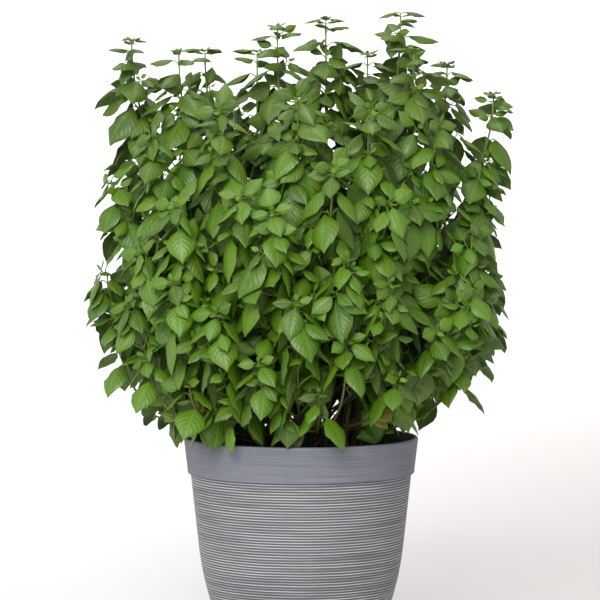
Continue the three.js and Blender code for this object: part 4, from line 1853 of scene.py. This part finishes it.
class Plant:
    """Every stem with its packed leaves, and the further leaves and twigs that fill it out."""

    leaf_tries = 6
    pair_step = 29.0
    most_pairs = 15
    lowest_pair = 268.0
    lowest_share = 0.06
    further_key = 20
    pair_lengths = (58, 1.2)
    pair_pitches = (-14, -58)
    stem_stretches = 12
    shoot_stretches = 5
    clearance = 0.4

    def __init__(self) -> None:
        """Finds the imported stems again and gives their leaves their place."""
        self.thicket = Thicket()
        self.stems = [planted(index, *plan) for index, plan in enumerate(stem_plans())]
        self.twigs: dict[int, list[Twig]] = defaultdict(list)
        self.block_planter()
        for stem in self.stems:
            for shoot in (stem, *stem.shoots):
                self.block_shoot(shoot, self.stem_stretches if shoot is stem else self.shoot_stretches)
                for leaf in shoot.leaves:
                    self.thicket.block(leaf.outline(), SHEET_FACES)

    def block_planter(self) -> None:
        """Keeps leaves out of the pot's rim and the soil."""
        for node in ("pot", "soil"):
            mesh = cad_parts[node].data
            corners = [vertex.co / MM for vertex in mesh.vertices]
            self.thicket.block(corners, [tuple(face.vertices) for face in mesh.polygons])

    def block_shoot(self, shoot: Shoot, steps: int) -> None:
        """Keeps leaves out of a shoot.

        Args:
            shoot: The shoot.
            steps: How many stretches it is taken in.
        """
        for low, high in pairwise(i / steps for i in range(steps + 1)):
            corners = []
            for share in (low, high):
                cut = shoot.section(share)
                reach = shoot.half_width_at(share) + self.clearance
                for way in (cut.first, cut.second):
                    corners += [cut.centre + way * reach, cut.centre - way * reach]
            self.thicket.block(corners, [(0, 1, 5, 4), (2, 3, 7, 6)])

    def try_leaf(self, grower: Stem | Twig, tries: Iterable[Leaf]) -> None:
        """Keeps the first of several tries at a leaf that has room.

        Args:
            grower: The shoot that it grows on.
            tries: The leaf at each attempt.
        """
        for leaf in tries:
            if BUSH.takes(leaf) and self.thicket.takes_leaf(leaf):
                grower.leaves.append(leaf)
                return

    def further_pairs(self, stem: Stem) -> list[tuple[int, float]]:
        """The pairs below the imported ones: each one's number and share."""
        first = LEAF.places[stem.pairs - 1] * stem.spacing
        pairs = []
        for k in range(1, self.most_pairs + 1):
            share = stem.below_tip(first + k * self.pair_step)
            if share < self.lowest_share or stem.centre(share).z < self.lowest_pair:
                break
            pairs.append((stem.pairs - 1 + k, share))
        return pairs

    def grow_stem_leaves(self, stem: MainStem) -> None:
        """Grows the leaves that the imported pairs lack, and those of the further pairs.

        Args:
            stem: The stem.
        """
        for shoot in (stem, *stem.shoots):
            for pair in range(shoot.pairs):
                for face in faces_of(pair):
                    if (pair, face) not in shoot.taken:
                        tries = (shoot.packed_leaf(pair, face, attempt) for attempt in range(LEAF.tries))
                        self.try_leaf(shoot, filter(None, tries))
            for pair, share in self.further_pairs(shoot):
                longest, less = self.pair_lengths
                size = longest - less * pair, *self.pair_pitches
                key = pair + self.further_key
                for face in faces_of(pair):
                    grown = (shoot.grown_leaf(key, face, a, share, *size) for a in range(self.leaf_tries))
                    self.try_leaf(shoot, grown)

    def grow_twig(self, index: int, twig: Twig, pairs: tuple[Pair, ...]) -> None:
        """Grows the leaves of a twig from its tip down.

        Args:
            index: The number of the main stem that carries it.
            twig: The twig.
            pairs: The pairs of leaves that it may have.
        """
        for order, pair in enumerate(pairs):
            if pair.distance > twig.length - TWIG.bare_foot:
                break
            for face in faces_of(order):
                self.try_leaf(twig, (twig.leaf(pair, order, face, a) for a in range(self.leaf_tries)))
        if twig.leaves:
            self.twigs[index].append(twig)

    def grow_twigs(self, stem: MainStem) -> None:
        """Grows a twig or a bud in the axil of each leaf that faces out.

        Args:
            stem: The stem.
        """
        index = stem.keys[0]
        crown = stem.pairs == STEM.crown_pairs
        for pair, share in (*stem.packed_pairs(), *self.further_pairs(stem)):
            middle = stem.centre(share)
            fill = BUSH.fill(middle)
            below = (1 - share) * stem.height
            spare = (1 - fill) * BUSH.radius(middle)
            reach = min(spare - TWIG.room, TWIG.below_share * below - TWIG.below_room, TWIG.longest)
            start = share + TWIG.above_leaf / stem.tip_speed
            for face in faces_of(pair):
                keys = (index, Draw.TWIG, pair, face)
                facing = stem.face_normal(share, face).dot(BUSH.outward(middle))
                grow, draw = chance(*keys, Draw.GROW), chance(*keys, Draw.LENGTH)
                inner = facing < TWIG.inward and fill < TWIG.inner_fill and middle.z < TWIG.inner_top
                if inner or (crown and grow > TWIG.crown_share):
                    continue
                if reach < TWIG.shortest or (crown and below < TWIG.crown_bare):
                    length = TWIG.sprig_lengths[0] + TWIG.sprig_lengths[1] * draw
                    self.grow_twig(index, Twig(stem, start, face, length, keys), SPRIG_PAIRS)
                elif grow < TWIG.share:
                    length = reach * (TWIG.lengths[0] + TWIG.lengths[1] * draw)
                    self.grow_twig(index, Twig(stem, start, face, length, keys), TWIG_PAIRS)

    def grow_buds(self, stem: MainStem) -> None:
        """Closes every packed tip, of the stem and of its shoots, with its youngest leaves.

        Args:
            stem: The stem.
        """
        index = stem.keys[0]
        crown = stem.pairs == STEM.crown_pairs
        for number, shoot in enumerate((stem, *stem.shoots)):
            length = TWIG.bud_lengths[not crown]
            bud = Twig(shoot, 1, 0, length, (index, Draw.TWIG + 5, number))
            cut = shoot.section(1)
            lean = cut.tangent if crown else (BUSH.outward(cut.centre) + UP * TWIG.bud_lean).normalized()
            bends = (cut.tangent * (3 - i) + lean * i for i in range(4))
            bud.points = tuple(cut.centre + bend * (length * i / 9) for i, bend in enumerate(bends))
            bud.across = cut.second if crown else UP.cross(lean).normalized()
            bud.phase = shoot.phase if crown else spread(TWIG.bud_spread, *bud.keys, Draw.PHASE)
            for order, pair in enumerate(TIP_PAIRS if crown else ROSETTE_PAIRS):
                for face in faces_of(order + 1):
                    self.try_leaf(bud, (bud.leaf(pair, order, face, a) for a in range(self.leaf_tries)))
            self.twigs[index].append(bud)

    def grow_shoot_twigs(self, stem: MainStem) -> None:
        """Grows sprigs and short twigs in the axils of the side shoots.

        Args:
            stem: The stem that carries the shoots.
        """
        index = stem.keys[0]
        for number, shoot in enumerate(stem.shoots):
            for pair, share in (*shoot.packed_pairs(), *self.further_pairs(shoot)):
                if share < LEAF.first_share:
                    continue
                middle = shoot.centre(share)
                spare = (TWIG.shoot_fill - BUSH.fill(middle)) * BUSH.radius(middle)
                least, more = TWIG.shoot_reach
                reach = clamp(spare - TWIG.shoot_room, least, least + more * pair)
                shortest, further = TWIG.shoot_lengths
                for face in faces_of(pair):
                    keys = (index, Draw.TWIG + 6 + number, pair, face)
                    length = reach * (shortest + further * chance(*keys, Draw.LENGTH))
                    twig = Twig(shoot, share + TWIG.shoot_above_leaf / shoot.tip_speed, face, length, keys)
                    self.grow_twig(index, twig, TWIG_PAIRS if length > TWIG.shoot_sprig else SPRIG_PAIRS)

    def grow(self) -> None:
        """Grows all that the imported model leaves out."""
        for step in (self.grow_buds, self.grow_stem_leaves, self.grow_twigs, self.grow_shoot_twigs):
            for stem in self.stems:
                step(stem)


# Fine foliage


class Grade(Enum):
    """How finely a leaf is made: its blade's rows and columns, and its petiole's sides and rings."""

    BROAD = (9, 6, 4, 7)
    SMALL = (6, 4, 4, 4)
    BUD = (4, 2, 0, 0)

    @classmethod
    def of(cls, leaf: Leaf) -> "Grade":
        """The grade for a leaf's size. Leaves deep in the bush are plainer."""
        shown = BUSH.fill(leaf.start) > BUSH.deep or leaf.start.z > BUSH.crown
        if shown and leaf.length >= LEAF.broad_from:
            return cls.BROAD
        return cls.SMALL if leaf.length >= LEAF.small_from else cls.BUD


def ramp(values: Array, start: float, end: float) -> Array:
    """How far values have gone from one number to another, from 0 to 1."""
    return np.clip((values - start) / (end - start), 0, 1)


class LeafTable:
    """The sizes of many leaves as columns, for shaping them all at once."""

    trough_depth = 0.045

    def __init__(self, leaves: list[Leaf]) -> None:
        """Gathers the leaves' values.

        Args:
            leaves: The leaves.
        """
        self.leaves = leaves
        self.length, self.width = self.column("length"), self.column("width")
        self.base, self.bend = self.column("base"), self.column("bend")
        self.start, self.along = self.vectors("start"), self.vectors("along")
        self.side, self.up = self.vectors("side"), self.vectors("up")

    def column(self, name: str) -> Array:
        """One number of every leaf."""
        return np.array([getattr(leaf, name) for leaf in self.leaves])[:, None]

    def vectors(self, name: str) -> Array:
        """One vector of every leaf."""
        return np.array([getattr(leaf, name)[:] for leaf in self.leaves])[:, None, :]

    def draw(self, key: Draw, low: float, high: float) -> Array:
        """A chance of every leaf's own."""
        return np.array([low + (high - low) * chance(*leaf.keys, key) for leaf in self.leaves])[:, None]

    def midrib(self, share: Array) -> tuple[Array, Array]:
        """Points on the midribs and the ways that the blades face there.

        Args:
            share: Shares of the blades' length.

        Returns:
            The points and the normals.
        """
        pitch = self.base + self.bend * share
        run = self.length * (np.sin(pitch) - np.sin(self.base)) / self.bend
        rise = self.length * (np.cos(self.base) - np.cos(pitch)) / self.bend
        points = self.start + self.along * run[..., None] + self.up * rise[..., None]
        return points, self.up * np.cos(pitch)[..., None] - self.along * np.sin(pitch)[..., None]

    def blades(self, shares: Array) -> Array:
        """Shapes the blades: an ovate outline, margins that curve down, a sunk midrib and a ruffled edge.

        Args:
            shares: The blade pattern's corners.

        Returns:
            Every blade's corners.
        """
        u, v, face = shares.T[:, None, :]
        fore = self.draw(Draw.POINT, 0.66, 0.86)
        aft = self.draw(Draw.BREADTH, 0.9, 1.1)
        peak = fore / (fore + aft)
        outline = np.clip(u, 0, 1) ** fore * np.clip(1 - u, 0, 1) ** aft / (peak**fore * (1 - peak) ** aft)
        drawn_out = np.clip((u - 0.7) / 0.28, 0, 1)
        half = self.width / 2 * outline * (1 - 0.34 * drawn_out * drawn_out * (3 - 2 * drawn_out))
        high = ramp(self.start[..., 2], 620, 720)
        fold = np.radians(LEAF.fold) * (self.draw(Draw.CUP, 0.6, 1.35) + 0.45 * high)
        twist = self.draw(Draw.TWIST, -0.22, 0.22) * u
        phase = self.draw(Draw.PHASE, 0, FULL_TURN)
        ruffle = self.draw(Draw.RUFFLE, 0.02, 0.1) * half * v**2
        ruffle = ruffle * np.sin(FULL_TURN * 2.6 * u + phase + np.sign(v))
        sunk = np.exp(-((v / 0.3) ** 2)) * np.sin(pi * np.clip(u, 0, 1)) ** 0.5
        trough = self.trough_depth * self.width * sunk
        thickness = (0.22 + 0.006 * self.length) * face
        level = -half * np.sin(fold) * np.abs(v) ** 1.6 - trough + ruffle + half * v * np.sin(twist)
        points, normal = self.midrib(u)
        sideways = half * v * np.cos(fold)
        return points + self.side * sideways[..., None] + normal * (level + thickness)[..., None]

    def petioles(self, shares: Array, rings: int) -> Array:
        """Shapes the petioles, which run on under the blades as their midribs where they have the rings.

        Args:
            shares: The tube pattern's corners.
            rings: The tube's rings.

        Returns:
            Every petiole's corners.
        """
        petiole, rise, base = (self.column(name)[..., None] for name in ("petiole", "rise", "base"))
        sunk = self.vectors("root") - self.along
        nearing = self.along * np.cos(base) + self.up * np.sin(base)
        bend = self.start - nearing * petiole * 0.5
        free = min(rings, 4)
        t = np.linspace(0, 1, free)[None, :, None]
        centres = sunk * (1 - t) ** 2 + 2 * bend * t * (1 - t) + self.start * t**2
        pitch = rise + (base - rise) * t
        normals = self.up * np.cos(pitch) - self.along * np.sin(pitch)
        thick = 0.5 + 0.009 * self.length
        radii = thick * np.linspace(1, 0.78, free)
        if rings > free:
            u = np.linspace(0.12, 0.8, rings - free)[None, :]
            points, under = self.midrib(u)
            depth = self.trough_depth * self.width * np.sin(pi * u) ** 0.5 + 0.5 * thick
            centres = np.concatenate([centres, points - under * depth[..., None]], axis=1)
            normals = np.concatenate([normals, under], axis=1)
            radii = np.concatenate([radii, thick * np.linspace(0.72, 0.3, rings - free)], axis=1)
        ring = np.rint(shares[:, 2] * (rings - 1)).astype(int)
        x, y = shares[:, 0][None, :, None], shares[:, 1][None, :, None]
        reach = radii[:, ring][..., None]
        return centres[:, ring] + (self.side * x + normals[:, ring] * y) * reach

    def habits(self) -> Array:
        """Each leaf's tone, youth and how withered it is. The tone is darker high in the crown, partly for
        the crown leaves' own olive colour and partly as painted shade of the backlit crown.
        """
        height = self.start[..., 2]
        high = ramp(height, 600, 700)
        old = self.draw(Draw.WITHER, 0, 1) < 0.3 * ramp(height, 350, 290) * ramp(self.length, 40, 25)
        wither = np.maximum(np.where(old, self.draw(Draw.TONE, 0.3, 0.8), 0), 0.05 * high)
        # Partly painted shade: crown leaves get a darker tone for the backlit, edge-on crown, and the tone
        # below the crown is lifted.
        tone = self.draw(Draw.TONE, 0, 1) * (1 - 0.55 * high) + 0.25 * (1 - high)
        return np.stack([np.clip(tone, 0, 1), self.column("youth"), wither], axis=-1)


class Skin(Enum):
    """How finely a shoot's skin is made: its sides and its rings."""

    STEM = (12, 92)
    SHOOT = (8, 34)
    TWIG = (5, 9)
    SPRIG = (4, 3)


class Foliage:
    """One leafy stem as a single fine piece."""

    knot_length = 3.2
    knot_swelling = 0.28
    wood_from = 470
    wood_run = 190
    tender_length = 110
    squareness = 3.4

    def __init__(self, stem: MainStem, twigs: list[Twig]) -> None:
        """Takes the main stem and its further twigs."""
        self.stem = stem
        self.twigs = twigs
        self.gathering = Gathering()

    def add_shoot(self, shoot: Shoot, skin: Skin, knots: Iterable[float]) -> None:
        """Adds the skin of a stem, shoot or twig.

        Args:
            shoot: The shoot.
            skin: How finely it is made.
            knots: The shares where pairs of leaves thicken it.
        """
        sides, rings = skin.value
        pattern = tube_pattern(sides, rings)
        rooted = isinstance(shoot, MainStem)
        centres, firsts, seconds, radii, habits = [], [], [], [], []
        for i in range(rings):
            share = max(0, i - 1) / (rings - 2) if rooted else i / (rings - 1)
            cut = shoot.section(share)
            centre = cut.centre - UP * STEM.root_depth if rooted and i == 0 else cut.centre
            offsets = [(share - knot) * shoot.tip_speed / self.knot_length for knot in knots]
            swell = min(sum(exp(-(offset**2)) for offset in offsets), 1)
            centres.append(centre[:])
            firsts.append(cut.first[:])
            seconds.append(cut.second[:])
            radii.append(shoot.half_width_at(share) * (1 + self.knot_swelling * swell))
            low = clamp((self.wood_from - centre.z) / self.wood_run, 0, 1)
            young = clamp(1 - (1 - share) * shoot.tip_speed / self.tender_length, 0, 1)
            habits.append((0.5, young, low * clamp(shoot.half_width - 0.4, 0.25, 1)))
        ring = np.rint(pattern.shares[:, 2] * (rings - 1)).astype(int)
        angle = np.arctan2(pattern.shares[:, 1], pattern.shares[:, 0])
        power = self.squareness
        square = (np.abs(np.cos(angle)) ** power + np.abs(np.sin(angle)) ** power) ** (-1 / power)
        angle = angle + shoot.phase
        x, y = (np.cos(angle) * square)[:, None], (np.sin(angle) * square)[:, None]
        reach = np.array(radii)[ring][:, None]
        out = np.array(firsts)[ring] * x + np.array(seconds)[ring] * y
        places = np.array(centres)[ring] + out * reach
        self.gathering.add(pattern, places[None], np.array(habits)[ring][None])

    def add_leaves(self, leaves: list[Leaf]) -> None:
        """Adds leaves, the finer ones with their petioles.

        Args:
            leaves: The leaves.
        """
        graded = defaultdict(list)
        for leaf in leaves:
            graded[Grade.of(leaf)].append(leaf)
        for grade in filter(graded.get, Grade):
            rows, columns, sides, rings = grade.value
            table = LeafTable(graded[grade])
            habits = table.habits()
            blade = blade_pattern(rows, columns)
            self.gathering.add(blade, table.blades(blade.shares), habits)
            if sides:
                tube = tube_pattern(sides, rings)
                pale = habits * np.array([1.0, 0.4, 0.0]) + np.array([0.0, 0.5, 0.0])
                self.gathering.add(tube, table.petioles(tube.shares, rings), pale)

    def build(self, materials: list[Material]) -> Piece:
        """Makes the piece.

        Args:
            materials: Upper side, underside and stem.

        Returns:
            The finished piece.
        """
        stem = self.stem
        self.add_shoot(stem, Skin.STEM, [share for _, share in stem.packed_pairs()])
        self.add_leaves([leaf for shoot in (stem, *stem.shoots, *self.twigs) for leaf in shoot.leaves])
        for shoot in stem.shoots:
            self.add_shoot(shoot, Skin.SHOOT, [share for _, share in shoot.packed_pairs()])
        for twig in self.twigs:
            long = twig.length > TWIG.shortest
            knots = [1 - pair.distance / twig.length for pair in TWIG_PAIRS[3:]] if long else []
            self.add_shoot(twig, Skin.TWIG if long else Skin.SPRIG, knots)
        index = stem.keys[0]
        piece = self.gathering.piece(f"basil_stem_{index + 1:02d}", materials)
        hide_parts(node_name(index))
        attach(piece, BODY)
        return piece


# Studio


@dataclass(frozen=True)
class AreaLamp:
    """A soft square lamp, in metres and watts."""

    name: str
    place: Triple
    target: Triple
    size: float
    power: float

    def build(self) -> None:
        """Hangs the lamp and turns it to its target."""
        data = bpy.data.lights.new(self.name, "AREA")
        data.shape = "SQUARE"
        data.size = self.size
        data.energy = self.power
        lamp = bpy.data.objects.new(self.name, data)
        lamp.location = self.place
        way = Vector(self.target) - Vector(self.place)
        lamp.rotation_euler = way.to_track_quat("-Z", "Y").to_euler()
        bpy.context.scene.collection.objects.link(lamp)


@dataclass(frozen=True)
class Studio:
    """The camera, the lamps and the pale floor, in metres."""

    lens: float = 168.0
    sensor: float = 36.0
    camera_place: Triple = (-0.0013, -3.556, 0.615)
    camera_pitch: float = -2.76
    bend_start: float = 6.8
    bend_radius: float = 1.6
    bend_steps: int = 24
    wall_height: float = 2.6
    floor_sides: int = 96
    floor_pale: Colour = (240, 240, 240)
    # Painted shade: the floor is dimmed near the ground, more towards the right, standing in for the light
    # falling off there.
    floor_painted_shade: Colour = (207, 203, 202)
    painted_shade_height: float = 0.8
    painted_shade_sides: Couple = (-0.3, 0.8)
    painted_shade_left_share: float = 0.6
    sky: float = 0.5
    lamps: tuple[AreaLamp, ...] = (
        AreaLamp("key", (-0.65, -2.95, 2.05), (0, 0, 0.45), 1.8, 104.0),
        AreaLamp("fill", (2.6, -2.6, 2.3), (0, 0, 0.45), 2.0, 6.0),
        AreaLamp("backdrop", (-0.4, 0.9, 3.2), (0, 2.9, 0.9), 2.4, 60.0),
        AreaLamp("far floor", (0, 4.2, 3.6), (0, 7.0, 0), 2.4, 80.0),
        AreaLamp("far wall", (0, 5.0, 5.4), (0, 8.4, 0.8), 3.0, 240.0),
        AreaLamp("side floor", (-4.2, 0, 3.6), (-7.0, 0, 0), 2.4, 80.0),
        AreaLamp("side wall", (-5.0, 0, 5.4), (-8.4, 0, 0.8), 3.0, 150.0),
    )

    def add_camera(self) -> None:
        """Sets up the camera at the photograph's viewpoint."""
        data = bpy.data.cameras.new("camera")
        data.lens = self.lens
        data.sensor_width = self.sensor
        data.clip_end = 200
        camera = bpy.data.objects.new("camera", data)
        camera.location = self.camera_place
        camera.rotation_euler = (QUARTER + radians(self.camera_pitch), 0, 0)
        bpy.context.scene.collection.objects.link(camera)
        bpy.context.scene.camera = camera

    def add_floor(self) -> None:
        """Lays the pale floor, which bends up into a backdrop all round. Painted shade darkens it near the
        ground, and more towards the right.
        """
        bend = (self.bend_start, self.bend_radius)
        profile = [(0.0, 0.0), *arc(bend, self.bend_radius, -90, 0, self.bend_steps)]
        profile.append((self.bend_start + self.bend_radius, self.wall_height))
        bm = bmesh.new()
        turned(bm, profile, self.floor_sides)
        bmesh.ops.remove_doubles(bm, verts=bm.verts[:], dist=1e-4)
        material, shader, surface = new_material("pale floor")
        x, _, z = shader.node("ShaderNodeSeparateXYZ", {0: shader.place()}).outputs
        # Painted shade: darker near the ground and more so to the right, for the light falling off.
        low = shader.eased(z, 0.0, self.painted_shade_height, 1.0, 0.0)
        painted_shade = shader.times(low, shader.eased(x, *self.painted_shade_sides, self.painted_shade_left_share, 1.0))
        colour = shader.mixed(painted_shade, self.floor_pale, self.floor_painted_shade)
        shader.feed(surface.inputs["Base Color"], colour)
        surface.inputs["Roughness"].default_value = 0.9
        surface.inputs["Specular IOR Level"].default_value = 0.1
        floor = linked("floor", mesh_of(bm, "floor"), [material])

    def add_sky(self) -> None:
        """Surrounds the plant with even white light."""
        scene = bpy.context.scene
        world = bpy.data.worlds.new("studio")
        world.use_nodes = True
        colour, strength, _ = world.node_tree.nodes["Background"].inputs
        colour.default_value = (1, 1, 1, 1)
        strength.default_value = self.sky
        scene.world = world
        scene.view_settings.view_transform = "Standard"

    def build(self) -> None:
        """Sets up the whole studio."""
        self.add_camera()
        self.add_floor()
        self.add_sky()
        for lamp in self.lamps:
            lamp.build()


def main() -> None:
    """Builds the studio, the pot, the soil and the plant."""
    logging.basicConfig(level=logging.INFO, format="%(name)s: %(message)s")
    Studio().build()
    planter = Planter()
    for builder in (planter, Soil(planter)):
        piece = builder.build()
        LOG.info("%s: %d faces", piece.name, len(piece.data.polygons))
    plant = Plant()
    plant.grow()
    materials = [UPPER_LEAF.build(), UNDER_LEAF.build(), STEM_SKIN.build()]
    for index, stem in enumerate(plant.stems):
        piece = Foliage(stem, plant.twigs[index]).build(materials)
        count = sum(len(shoot.leaves) for shoot in (stem, *stem.shoots, *plant.twigs[index]))
        LOG.info("%s: %d leaves, %d faces", piece.name, count, len(piece.data.polygons))


if __name__ == "__main__":
    main()
